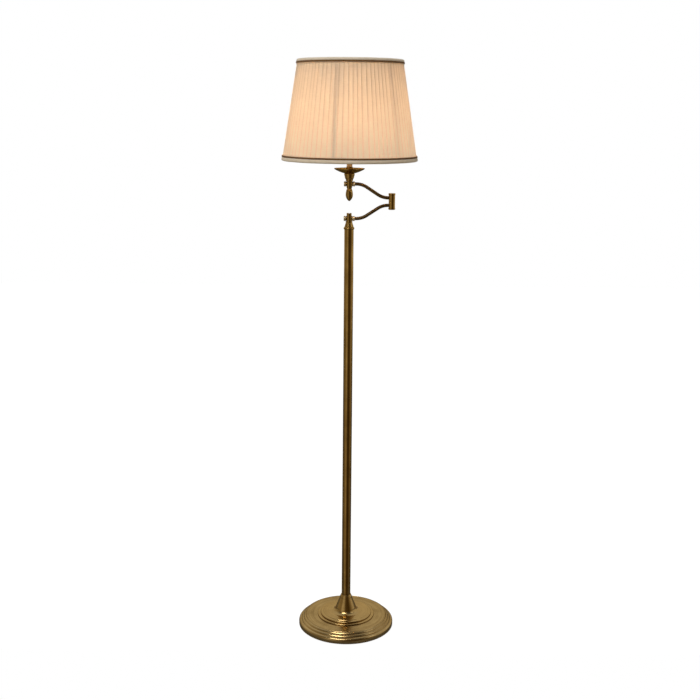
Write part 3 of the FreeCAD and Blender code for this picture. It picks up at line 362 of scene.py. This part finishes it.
def cloth(
        name, colour, shadow, seen_through, shares, pitch, slub_depth=0.5, painted_pleat_shade=0.0, painted_glow=None):
    """Thin woven cloth that lets most light through, more at its foot; its folds get painted shade.

    The shares that pass through and the painted glow, emission that stands in for the lamp's light in the
    cloth, are each given at its foot and its crown.
    """
    look = shader(name)
    angle, across, height = look.round_place()
    run = look.calc("MULTIPLY", angle, across)
    place = look.vector(run, height, across)
    threads = weave(look, run, height, pitch)
    slubs = look.noise(look.scaled(place, 60.0, 900.0, 60.0), 1.0, 3.0, 0.6)
    warp_slubs = look.noise(look.scaled(place, 1300.0, 45.0, 60.0), 1.0, 3.0, 0.6)
    clouds = look.noise(look.place(), 22.0, 3.0)
    uneven = look.calc("MULTIPLY", look.calc("ADD", slubs, warp_slubs), 0.5)
    tone = look.calc(
        "ADD", look.spread(uneven, 0.38, 0.62, 0.0, slub_depth),
        look.spread(clouds, 0.35, 0.65, 0.0, 0.2))
    tone = look.calc("ADD", tone, look.spread(threads, 0.0, 1.0, 0.12, 0.0), clamp=True)
    front = look.mix(tone, colour, shadow)
    through = look.mix(tone, seen_through, darker(seen_through, 0.82))
    # Painted shade: towards the pleats' folds the lit and the see-through colours both turn darker.
    if painted_pleat_shade:
        at_fold = look.add("Attribute", {"attribute_name": PAINTED_PLEAT_SHADE_LAYER}).outputs["Fac"]
        dim = look.spread(at_fold, 0.0, 1.0, 0.0, painted_pleat_shade)
        front = look.mix(dim, front, PAINTED_PLEAT_SHADE)
        through = look.mix(dim, through, PAINTED_PLEAT_SHADE)
    relief = look.calc("ADD", threads, look.calc("MULTIPLY", uneven, 1.5))
    normal = look.bump(relief, 0.4, CLOTH_RELIEF)
    lit = look.add(
        "BsdfPrincipled", Base_Color=front, Roughness=0.75, Normal=normal,
        Sheen_Weight=0.25, Sheen_Roughness=0.45)
    lit_through = look.add("BsdfTranslucent", Color=through, Normal=normal)
    passing = look.spread(height, SHADE_LOW, SHADE_HIGH, *shares)
    surface = look.mix_surfaces(passing, lit.outputs[0], lit_through.outputs[0])
    # Painted glow: the cloth gives off light in its see-through colour, stronger at its foot, standing in
    # for the lamp's light through it.
    if painted_glow:
        cloth_painted_light_emission = look.add(
            "Emission", Color=through, Strength=look.spread(height, SHADE_LOW, SHADE_HIGH, *painted_glow))
        surface = look.add_surfaces(surface, cloth_painted_light_emission.outputs[0])
    return look.finish(surface)


def woven_tape(name, colour, shadow, rib_pitch, share, sheen=0.3, hem=None):
    """A tightly woven ribbed tape; a hem is a thinner strip at a distance from a level that lets more
    light through, and its paler, warmer colour is a painted glow.
    """
    look = shader(name)
    angle, across, height = look.round_place()
    run = look.calc("MULTIPLY", angle, across)
    ribs = look.calc("SINE", look.calc("MULTIPLY", run, FULL_TURN / rib_pitch))
    threads = weave(look, run, height, TAPE_THREADS)
    wear = look.noise(look.scaled(look.place(), 1.0, 1.0, 3.0), 90.0, 4.0)
    tone = look.calc(
        "ADD", look.spread(ribs, -1.0, 1.0, 0.35, 0.0), look.spread(wear, 0.35, 0.7, 0.0, 0.45),
        clamp=True)
    front = look.mix(tone, colour, shadow)
    # The hem is partly real and partly painted: more light passes through it, and its pale warm colour is
    # a painted glow of lit cloth.
    if hem:
        middle, reach, hem_painted_light_colour = hem
        from_middle = look.calc("ABSOLUTE", look.calc("SUBTRACT", height, middle))
        at_painted_light_hem = look.spread(from_middle, reach, reach - HEM_BLUR)
        front = look.mix(at_painted_light_hem, front, hem_painted_light_colour)
        share = look.spread(at_painted_light_hem, 0.0, 1.0, share, HEM_SHARE)
    relief = look.calc("ADD", ribs, look.calc("MULTIPLY", threads, 0.7))
    normal = look.bump(relief, 0.5, TAPE_RELIEF)
    lit = look.add(
        "BsdfPrincipled", Base_Color=front, Roughness=0.8, Normal=normal, Sheen_Weight=sheen)
    lit_through = look.add("BsdfTranslucent", Color=front, Normal=normal)
    return look.finish(look.mix_surfaces(share, lit.outputs[0], lit_through.outputs[0]))


def felt():
    look = shader("felt")
    place = look.place()
    fibres = look.noise(look.scaled(place, 1.0, 1.0, 0.4), 2200.0, 5.0, 0.75)
    clouds = look.noise(place, 70.0, 3.0)
    colour = look.mix(look.spread(clouds, 0.3, 0.7), (0.020, 0.032, 0.022), (0.036, 0.052, 0.036))
    colour = look.mix(look.spread(fibres, 0.45, 0.75, 0.0, 0.5), colour, (0.075, 0.095, 0.070))
    body = look.add(
        "BsdfPrincipled", Base_Color=colour, Roughness=0.95, Sheen_Weight=0.6,
        Sheen_Roughness=0.4, Normal=look.bump(fibres, 0.7, 0.3 * MM))
    return look.finish(body.outputs[0])


# ---------------------------------------------------------------- meshes

def add_piece(name, body, material, points, faces, painted_pleat_shade=None):
    """A mesh piece that rides on a body."""
    mesh = bpy.data.meshes.new(name)
    mesh.from_pydata(points, [], faces)
    mesh.polygons.foreach_set("use_smooth", [True] * len(faces))
    mesh.materials.append(material)
    # The per-point weights of the painted pleat shade, kept as a mesh layer.
    if painted_pleat_shade:
        mesh.attributes.new(PAINTED_PLEAT_SHADE_LAYER, "FLOAT", "POINT").data.foreach_set("value", painted_pleat_shade)
    mesh.update()
    piece = bpy.data.objects.new(name, mesh)
    bpy.context.scene.collection.objects.link(piece)
    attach(piece, body)
    return piece


def spun_point(radius, angle, height):
    return (radius * math.cos(angle), radius * math.sin(angle), height)


def grid_faces(rows, columns, close_rows=False):
    """Quads between neighbouring rows of points; each row closes on itself."""
    faces = []
    last = rows if close_rows else rows - 1
    for row in range(last):
        above = (row + 1) % rows
        for column in range(columns):
            beside = (column + 1) % columns
            faces.append((
                row * columns + column, row * columns + beside,
                above * columns + beside, above * columns + column))
    return faces


def ring_piece(name, body, material, section, steps, shift=None):
    """A closed section of (radius, height) points swept round the axis."""
    points = []
    for radius, height in section:
        for step in range(steps):
            angle = FULL_TURN * step / steps
            moved = shift(radius, height, angle) if shift else (radius, height)
            points.append(spun_point(moved[0], angle, moved[1]))
    return add_piece(name, body, material, points, grid_faces(len(section), steps, True))


def thick_line(line, half):
    """A closed section that holds a line of (radius, height) points in its middle."""
    sides = ([], [])
    for place, (radius, height) in enumerate(line):
        before = line[max(place - 1, 0)]
        after = line[min(place + 1, len(line) - 1)]
        along = Vector((after[0] - before[0], after[1] - before[1])).normalized()
        sides[0].append((radius - along.y * half, height + along.x * half))
        sides[1].append((radius + along.y * half, height - along.x * half))
    return sides[0] + sides[1][::-1]


# ---------------------------------------------------------------- the shade's own cone

SAME_LEVEL = 0.01 * MM


def rim_radius(node, level):
    """A turned node's largest radius at one of its levels."""
    corners = [vertex.co for vertex in frame["nodes"][node].data.vertices]
    return max(math.hypot(co.x, co.y) for co in corners if abs(co.z - level) < SAME_LEVEL)


def cone_of(node):
    """The level and the outer radius of a node's bottom and top edges."""
    low, high = (corner.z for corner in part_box(node))
    return low, high, rim_radius(node, low), rim_radius(node, high)


SHADE_LOW, SHADE_HIGH, SHADE_FOOT, SHADE_CROWN = cone_of("shade_cover")
LINING_LOW, LINING_HIGH, LINING_FOOT, LINING_CROWN = cone_of("shade_lining")


def shade_radius(level):
    """The cover's outer radius at a level."""
    share = (level - SHADE_LOW) / (SHADE_HIGH - SHADE_LOW)
    return SHADE_FOOT + (SHADE_CROWN - SHADE_FOOT) * share


def lining_radius(level):
    """The lining's outer radius at a level."""
    share = (level - LINING_LOW) / (LINING_HIGH - LINING_LOW)
    return LINING_FOOT + (LINING_CROWN - LINING_FOOT) * share


# ---------------------------------------------------------------- pleated cover

PLEATS = 80
PLEAT_ROWS = 34
PLEAT_TUCK = 2.6 * MM
PLEAT_DEPTH = 0.5 * MM
FOLD_RADIUS = 0.2 * MM
PLEAT_UNEVEN = 0.14
PLEAT_WANDER = 0.4 * MM
PLEAT_PUFF = 0.22 * MM
FACE_SHARES = (0.05, 0.12, 0.34, 0.66, 0.85)
# How much painted shade each point of a pleat gets, in the order that pleat_row lays the points.
PAINTED_PLEAT_SHADE_WEIGHTS = (0.2, 0.4, 1.0, 1.0, 0.3, 0.0, 0.0, 0.0, 0.0, 0.0, 0.0, 0.0)


def pleat_row(starts, cloth_widths, level, share):
    """One level of the cover: each pleat's fold, its face, its tuck and the way back."""
    radius = shade_radius(level)
    pressed = min(1.0, 0.55 + 3.0 * min(share, 1.0 - share))
    row = []
    for place, start in enumerate(starts):
        end = starts[(place + 1) % PLEATS] + (FULL_TURN if place == PLEATS - 1 else 0.0)
        tuck = (cloth_widths[place] - (end - start) * radius) / 2
        slack = noise.noise(Vector((place * 3.1, share * 3.0, 5.0)))
        depth = PLEAT_DEPTH * pressed * (1.0 + 0.3 * slack)
        inner = end + tuck / radius
        nose = FOLD_RADIUS / radius
        row += [
            (radius - 2 * FOLD_RADIUS, start),
            (radius - FOLD_RADIUS, start - nose),
            (radius, start),
        ]
        for along in FACE_SHARES:
            puff = PLEAT_PUFF * pressed * math.sin(math.pi * along) * (1.0 + slack)
            row.append((radius - depth * along + puff, start + (inner - start) * along))
        row += [
            (radius - depth, inner),
            (radius - depth + FOLD_RADIUS, inner + nose),
            (radius - depth + 2 * FOLD_RADIUS, inner),
            (radius - depth / 2, (inner + end) / 2),
        ]
    return [spun_point(across, angle, level) for across, angle in row]


def pleated_cover(material):
    """Silk folded into knife pleats that get closer towards the top."""
    random.seed(11)
    shares = [1.0 + random.uniform(-PLEAT_UNEVEN, PLEAT_UNEVEN) for _ in range(PLEATS)]
    whole = sum(shares)
    angles = [FULL_TURN * sum(shares[:place]) / whole for place in range(PLEATS)]
    cloth_widths = [
        FULL_TURN * share / whole * SHADE_FOOT + 2 * PLEAT_TUCK * random.uniform(0.85, 1.15)
        for share in shares]
    points = []
    for row in range(PLEAT_ROWS):
        share = row / (PLEAT_ROWS - 1)
        level = SHADE_LOW + (SHADE_HIGH - SHADE_LOW) * share
        starts = []
        for place, angle in enumerate(angles):
            drift = noise.noise(Vector((place * 1.7, share * 1.6, 0.0)))
            ripple = noise.noise(Vector((place * 4.3, share * 6.0, 9.0)))
            wander = PLEAT_WANDER * (drift + 0.3 * ripple)
            starts.append(angle + wander / shade_radius(level))
        points += pleat_row(starts, cloth_widths, level, share)
    columns = len(points) // PLEAT_ROWS
    cover = add_piece(
        "pleated_cover", "head", material, points, grid_faces(PLEAT_ROWS, columns),
        PAINTED_PLEAT_SHADE_WEIGHTS * (PLEATS * PLEAT_ROWS))
    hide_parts("shade_cover")


# ---------------------------------------------------------------- lining

LINING_STEPS = 240
LINING_ROWS = 30
LINING_WAIST = 1.2 * MM
LINING_THICKNESS = 0.5 * MM
LINING_PULL = 0.35 * MM
LINING_PULLS = 60
LINING_CREASE = 0.5 * MM
SEAM_WIDTH = 0.011
SEAM_RISE = 0.45 * MM
SEAM_ANGLES = (math.radians(106.3), math.radians(286.3))


def lining_piece(material):
    """A lining sewn from two panels and pulled tight between the frame's rings."""
    points = []
    for row in range(LINING_ROWS):
        share = row / (LINING_ROWS - 1)
        level = LINING_LOW + (LINING_HIGH - LINING_LOW) * share
        for step in range(LINING_STEPS):
            angle = FULL_TURN * step / LINING_STEPS
            near_edge = math.exp(-12.0 * min(share, 1.0 - share))
            pull = LINING_PULL * near_edge * math.sin(angle * LINING_PULLS)
            crease = LINING_CREASE * noise.noise(Vector(spun_point(8, angle, share)))
            seam = sum(
                SEAM_RISE * math.exp(-(math.remainder(angle - at, FULL_TURN) / SEAM_WIDTH) ** 2)
                for at in SEAM_ANGLES)
            radius = lining_radius(level) - LINING_THICKNESS
            radius -= LINING_WAIST * math.sin(math.pi * share) + seam
            points.append(spun_point(radius + pull + crease * (1.0 - near_edge), angle, level))
    lining = add_piece("lining", "head", material, points, grid_faces(LINING_ROWS, LINING_STEPS))
    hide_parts("shade_lining")


# ---------------------------------------------------------------- bindings and braid

TAPE_STEPS = 360
TAPE_HALF = 0.45 * MM
BAND_SHARES = (0.75, 0.5, 0.25)
ROLL_SHARES = (1.0, 0.85, 0.65, 0.45, 0.25, 0.1)
ROLL_PUFF = 0.9 * MM
RIM_DIPS = ((0.0, 0.0), (0.2, 0.9), (0.5, 1.1), (0.8, 0.9), (1.0, 0.0))
TURNED_IN = (3.0, 6.0, 9.0)
TAPE_INSIDE = 1.4 * MM
TAPE_PUCKER = 0.12 * MM
TAPE_PUCKERS = 90
TAPE_DRIFT = 0.25 * MM
CORD_STEPS = 1260
CORD_TWISTS = 210
CORD_BEND = 8
CORD_DEPTH = 1.0 * MM
CORD_SINK = 0.55 * MM
CORD_BULGE = 0.65 * MM
CORD_LAY = 0.22 * MM


def binding_line(edge):
    """The tape's middle line: down the outside, round the rolled rim and up the lining."""
    name = f"{edge}_braid"
    low, high = (corner.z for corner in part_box(name))
    stripe_low, stripe_high = (corner.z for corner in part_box(f"{edge}_stripe"))
    at_bottom = edge == "bottom"
    rim, inward = (low, high) if at_bottom else (high, low)
    towards = 1 if at_bottom else -1
    stripe_edge = stripe_low if at_bottom else stripe_high
    roll = abs(stripe_edge - rim)
    proud = rim_radius(name, low) - shade_radius(low) - TAPE_HALF
    line = [(shade_radius(inward) + proud, inward)]
    for share in BAND_SHARES:
        level = stripe_edge + (inward - stripe_edge) * share
        line.append((shade_radius(level) + proud, level))
    for share in ROLL_SHARES:
        level = rim + towards * roll * share
        puff = ROLL_PUFF * math.sin(math.pi * min(1.0, 1.02 - share)) ** 0.6
        line.append((shade_radius(level) + proud + puff, level))
    inner_radius = lining_radius(LINING_LOW if at_bottom else LINING_HIGH) - TAPE_INSIDE
    outer_radius = shade_radius(rim) + proud
    for share, dip in RIM_DIPS:
        line.append((outer_radius + (inner_radius - outer_radius) * share, rim - towards * dip * MM))
    for rise in TURNED_IN:
        level = rim + towards * rise * MM
        line.append((lining_radius(level) - TAPE_INSIDE, level))
    return line if at_bottom else line[::-1]


def binding(edge, material):
    """The cream tape that is folded over one edge of the shade, and its line."""
    name = f"{edge}_braid"
    line = binding_line(edge)

    def puckered(radius, height, angle):
        pucker = TAPE_PUCKER * math.sin(angle * TAPE_PUCKERS + height / MM)
        drift = TAPE_DRIFT * noise.noise(Vector(spun_point(6, angle, 2.0)))
        return radius + pucker, height + drift

    tape = ring_piece(
        f"{edge}_binding", "head", material, thick_line(line, TAPE_HALF), TAPE_STEPS, puckered)
    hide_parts(name)
    return tape, line


def braid_stripe(edge, material):
    """The raised brown cord braid: two strands that twist round each other."""
    name = f"{edge}_stripe"
    low, high = (corner.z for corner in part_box(name))
    middle, half = (low + high) / 2, (high - low) / 2
    face = rim_radius(name, low)
    back = face - CORD_DEPTH
    section = [(back, low)]
    for step in range(CORD_BEND + 1):
        turn = math.pi * step / CORD_BEND
        section.append((
            face - CORD_SINK + CORD_BULGE * math.sin(turn), middle - half * math.cos(turn)))
    section.append((back, high))
    slope = (SHADE_CROWN - SHADE_FOOT) / (SHADE_HIGH - SHADE_LOW)

    def twisted(radius, height, angle):
        across = (height - middle) / half
        outside = max(0.0, radius - back) / (face - back)
        lay = CORD_LAY * outside * math.sin(angle * CORD_TWISTS + across * 2.4)
        return radius + slope * (height - low) + lay, height

    stripe = ring_piece(f"{edge}_cord_braid", "head", material, section[::-1], CORD_STEPS, twisted)
    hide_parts(name)
    return stripe


def trims(tape_material, cord_material):
    for edge in ("bottom", "top"):
        stripe = braid_stripe(edge, cord_material)
        tape, line = binding(edge, tape_material)


# ---------------------------------------------------------------- felt

FELT_STEPS = 240
FELT_CENTRE = 0.5 * MM
FELT_EDGE = 1.0 * MM
FELT_BEND = 6
FELT_FUZZ = 0.35 * MM
FELT_SHARES = (0.25, 0.5, 0.75, 0.93)


def felt_disc(material):
    """The felt under the base, with a soft cut edge."""
    low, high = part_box("felt_pad")
    radius = high.x
    thick = high.z - low.z
    section = [(FELT_CENTRE, low.z)]
    for share in FELT_SHARES:
        section.append((radius * share, low.z))
    for step in range(FELT_BEND + 1):
        turn = math.pi * (step / FELT_BEND - 0.5)
        section.append((
            radius - FELT_EDGE + FELT_EDGE * math.cos(turn),
            low.z + thick / 2 + (thick / 2) * math.sin(turn)))
    for share in reversed(FELT_SHARES):
        section.append((radius * share, high.z))
    section.append((FELT_CENTRE, high.z))

    def fuzzy(across, height, angle):
        rough = noise.noise(Vector(spun_point(40, angle, height / MM)))
        edge = across / radius
        return across - FELT_FUZZ * abs(rough) * edge ** 8, height

    pad = ring_piece("felt_disc", "stand", material, section[::-1], FELT_STEPS, fuzzy)
    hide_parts("felt_pad")


# ---------------------------------------------------------------- finishes of the CAD nodes

SMOOTH_BELOW = math.radians(32)


def dress(material, *names):
    """Gives nodes their material and smooth round faces."""
    for name in names:
        node = frame["nodes"][name]
        if node.material_slots:
            for slot in node.material_slots:
                slot.material = material
        else:
            node.data.materials.append(material)
        node.data.polygons.foreach_set("use_smooth", [True] * len(node.data.polygons))
        node.data.set_sharp_from_angle(angle=SMOOTH_BELOW)


def dress_nodes():
    elbow_low, elbow_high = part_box("elbow_top_cap")
    elbow = ((elbow_low.x + elbow_high.x) / 2, 0.0)
    dress(
        brass(
            "base_brass", "spun", bright=(0.52, 0.365, 0.155), dark=(0.14, 0.066, 0.005),
            rough=0.2, relief=0.01, tarnish=0.5, uneven=0.36, edges=False),
        "base_cover")
    dress(
        brass(
            "trumpet_brass", "spun", bright=(0.52, 0.35, 0.135), dark=(0.14, 0.066, 0.005),
            rough=0.17, relief=0.01, tarnish=0.5, uneven=0.2, edges=False),
        "base_flare", "foot_collar")
    dress(brass("pole_brass", "drawn"), "pole_upper", "pole_coupler")
    # Painted shade: the lower pole gets a darker copy of the pole's brass, standing in for the darker
    # surroundings it reflects.
    dress(brass(
        "lower_pole_painted_shade_brass", "drawn", bright=(0.42, 0.26, 0.075), dark=(0.12, 0.055, 0.004)),
        "pole_lower")
    dress(
        brass(
            "turned_brass", "spun", bright=(0.40, 0.26, 0.085), dark=(0.09, 0.042, 0.004),
            rough=0.2, relief=0.01, uneven=0.22, coat=0.0),
        "pole_cap", "pivot_nut", "lower_block", "upper_block", "finial", "vase", "drip_dish",
        "neck_cup", "holder_cap", "holder_shell", "fitter_ring", "shade_nuts")
    dress(
        brass(
            "arm_brass", "arm", bright=(0.20, 0.140, 0.070), dark=(0.065, 0.034, 0.007), rough=0.34,
            relief=0.01, uneven=0.22, coat=0.0, edges=False),
        "lower_arm_tube", "upper_arm_tube")
    dress(
        brass(
            "cap_brass", "arm", bright=(0.75, 0.66, 0.46), dark=(0.45, 0.36, 0.22), rough=0.35,
            relief=0.01, tarnish=0.3, coat=0.0),
        "lower_end_cap", "upper_end_cap")
    # Painted highlight: the arm collars get a near-white copy of the brass, so they look as bright as a
    # highlight makes them.
    dress(
        brass(
            "collar_painted_highlight_brass", "arm", bright=(0.96, 0.87, 0.70), dark=(0.80, 0.68, 0.48), rough=0.5,
            relief=0.01, tarnish=0.1, coat=0.0),
        "lower_arm_collar", "upper_arm_collar")
    dress(
        brass("elbow_brass", "spun", axis=elbow, rough=0.16, relief=0.01, uneven=0.25, coat=0.1),
        "lower_knuckle", "upper_knuckle", "elbow_bottom_cap", "elbow_top_cap")
    # Partly painted light: the rough neck gathers the shade's light, and its pale, untarnished brass
    # paints that warm glow brighter still.
    dress(
        brass(
            "neck_painted_light_brass", "drawn", bright=(0.88, 0.68, 0.46), dark=(0.78, 0.54, 0.32), rough=0.55,
            relief=0.02, tarnish=0.0, coat=0.0),
        "neck_tube")
    dress(
        plain_metal("zinc_steel", (0.52, 0.53, 0.54), 0.32),
        "base_stud", "base_nut", "base_washer", "pole_foot_plug", "pivot_stem", "elbow_pin",
        "head_stem")
    dress(plain_metal("contact_metal", (0.66, 0.60, 0.48), 0.28), "contact_sleeve", "bulb_cap")
    dress(cast_iron(), "base_weight")
    dress(
        moulded("washer_fibre", (0.30, 0.13, 0.07), 0.6),
        "pivot_washers", "elbow_washers", "head_washers")
    dress(moulded("gland_black", (0.025, 0.025, 0.027), 0.45), "cord_gland")
    dress(
        moulded("lead_sheath", (0.20, 0.145, 0.07), 0.5),
        "pole_lead", "lower_arm_lead", "upper_arm_lead", "head_lead")
    dress(porcelain(), "holder_core")
    dress(opal_glass(), "bulb_glass")
    dress(
        painted_wire("painted_wire", (0.80, 0.75, 0.66)),
        "shade_bottom_ring", "shade_top_ring", "shade_spokes")
    # Painted shade: the struts get a near-black colour, unlike the cream rings and spokes, so that the
    # shade lines they leave on the cloth are deeper.
    dress(painted_wire("dark_wire", (0.07, 0.05, 0.035)), "shade_struts")


# ---------------------------------------------------------------- camera, light and stage

CAMERA_PLACE = (0.0055, -2.90, 1.4765)
CAMERA_LENS = 55.44
LOOKS_DOWN = 12.8
LEANS = 0.5
LIGHTS_AIM = (0.0, 0.0, 0.9)


def camera():
    """The photograph's view: a little from above, and held a trace off level."""
    data = bpy.data.cameras.new("camera")
    data.lens = CAMERA_LENS
    view = bpy.data.objects.new("camera", data)
    view.location = CAMERA_PLACE
    view.rotation_mode = "ZYX"
    view.rotation_euler = (math.radians(90 - LOOKS_DOWN), 0.0, math.radians(LEANS))
    bpy.context.scene.collection.objects.link(view)
    bpy.context.scene.camera = view


def soft_light(name, place, aim, width, height, watts):
    data = bpy.data.lights.new(name, "AREA")
    data.shape = "RECTANGLE"
    data.size = width
    data.size_y = height
    data.energy = watts
    lamp = bpy.data.objects.new(name, data)
    lamp.location = place
    lamp.rotation_euler = (Vector(aim) - Vector(place)).to_track_quat("-Z", "Y").to_euler()
    bpy.context.scene.collection.objects.link(lamp)


# Brightness of the studio by direction, as shares of a turn from straight behind the lamp over
# its left side, its front at 0.5 and its right side.
STUDIO = (
    (0.0, 0.80), (0.10, 0.78), (0.22, 0.42), (0.34, 0.30), (0.38, 0.68), (0.44, 0.52),
    (0.485, 0.12), (0.60, 0.07), (0.67, 0.28), (0.76, 0.70), (0.90, 0.80), (1.0, 0.80))
CEILING_FRONT = 0.10
CEILING_BACK = 0.70


def seen_as_backdrop(look):
    """1 for rays that show the backdrop itself: from the camera, or through glass."""
    path = look.add("LightPath")
    clear = look.calc(
        "SUBTRACT", path.outputs["Is Transmission Ray"], path.outputs["Is Diffuse Ray"], clamp=True)
    return look.calc("MAXIMUM", path.outputs["Is Camera Ray"], clear), path.outputs["Is Glossy Ray"]


def world():
    """A studio that is white behind the lamp and dim behind the camera's right."""
    scene_world = bpy.data.worlds.new("studio")
    bpy.context.scene.world = scene_world
    look = Shader(scene_world, "OutputWorld")
    direction = look.add("TexCoord").outputs["Generated"]
    x, y, z = look.add("SeparateXYZ", Vector=direction).outputs
    turn = look.calc("ARCTAN2", x, look.calc("MULTIPLY", y, -1.0))
    share = look.calc("ADD", look.calc("DIVIDE", turn, FULL_TURN), 0.5)
    ramp = look.add("ValToRGB", Fac=share)
    stops = ramp.color_ramp.elements
    while len(stops) < len(STUDIO):
        stops.new(0.5)
    for stop, (position, level) in zip(stops, STUDIO):
        stop.position = position
        stop.color = (level, level ** 1.2, level ** 1.7, 1.0)
    high = look.spread(z, 0.35, 0.85)
    ceiling = look.spread(y, -0.25, 0.3, CEILING_FRONT, CEILING_BACK)
    around = look.mix(high, ramp.outputs["Color"], ceiling)
    backdrop, _ = seen_as_backdrop(look)
    colour = look.mix(backdrop, around, WHITE)
    background = look.add("Background", Color=colour, Strength=1.0)
    look.finish(background.outputs[0])


FLOOR_SIDES = 4.0
FLOOR_FRONT = -0.17
FLOOR_BACK = 6.0
FLOOR_BELOW = 0.1 * MM
FLOOR_SEEN = 0.93
FLOOR_MIRRORED = 0.05


def floor():
    """A pale floor that the backdrop runs into; it keeps the lamp's soft shadow."""
    look = shader("floor")
    backdrop, glossy = seen_as_backdrop(look)
    fine = look.noise(look.place(), 30.0, 3.0)
    tone = look.mix(look.spread(fine, 0.3, 0.7), (0.20, 0.20, 0.197), (0.185, 0.185, 0.183))
    matt = look.add("BsdfDiffuse", Color=tone)
    strength = look.calc(
        "ADD", look.calc("MULTIPLY", backdrop, FLOOR_SEEN), look.calc("MULTIPLY", glossy, FLOOR_MIRRORED))
    lift = look.add("Emission", Color=WHITE, Strength=strength)
    material = look.finish(look.add_surfaces(matt.outputs[0], lift.outputs[0]))
    mesh = bpy.data.meshes.new("floor")
    level = cad_box[0].z - FLOOR_BELOW
    corners = [
        (-FLOOR_SIDES, FLOOR_FRONT, level), (FLOOR_SIDES, FLOOR_FRONT, level),
        (FLOOR_SIDES, FLOOR_BACK, level), (-FLOOR_SIDES, FLOOR_BACK, level)]
    mesh.from_pydata(corners, [], [(0, 1, 2, 3)])
    mesh.materials.append(material)
    ground = bpy.data.objects.new("floor", mesh)
    bpy.context.scene.collection.objects.link(ground)


# ---------------------------------------------------------------- putting it together

camera()
dress_nodes()
# The cover's cloth gets painted shade along its pleats' folds.
pleated_cover(cloth(
    "pleated_silk", colour=(0.86, 0.73, 0.57), shadow=(0.76, 0.62, 0.46),
    seen_through=(0.97, 0.83, 0.68), shares=(0.88, 0.64), pitch=0.9 * MM, painted_pleat_shade=0.26,
    # A painted glow on the cover, stronger at its foot than at its crown.
    painted_glow=(0.25, 0.075)))
lining_piece(cloth(
    "lining_cloth", colour=(0.90, 0.86, 0.79), shadow=(0.82, 0.77, 0.68),
    seen_through=(0.96, 0.91, 0.83), shares=(0.95, 0.68), pitch=0.6 * MM, slub_depth=0.2))
shade_middle = (SHADE_LOW + SHADE_HIGH) / 2
hem_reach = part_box("top_stripe")[0].z - shade_middle + HEM_BLUR
trims(
    woven_tape(
        "cream_tape", (0.86, 0.77, 0.64), (0.68, 0.59, 0.46), 1.6 * MM, share=0.2,
        # The hem's pale warm colour is a painted glow.
        hem=(shade_middle, hem_reach, (1.0, 0.87, 0.70))),
    woven_tape(
        "brown_cord", (0.19, 0.095, 0.035), (0.09, 0.042, 0.015), 0.7 * MM, share=0.05, sheen=0.02))
felt_disc(felt())
soft_light("key", (-1.0, -2.0, 3.6), LIGHTS_AIM, width=1.7, height=1.5, watts=64.0)
soft_light("fill", (2.6, -0.8, 2.4), LIGHTS_AIM, width=1.2, height=1.2, watts=5.0)
world()
floor()
bpy.context.scene.view_settings.view_transform = "Standard"

bpy.context.view_layer.update()
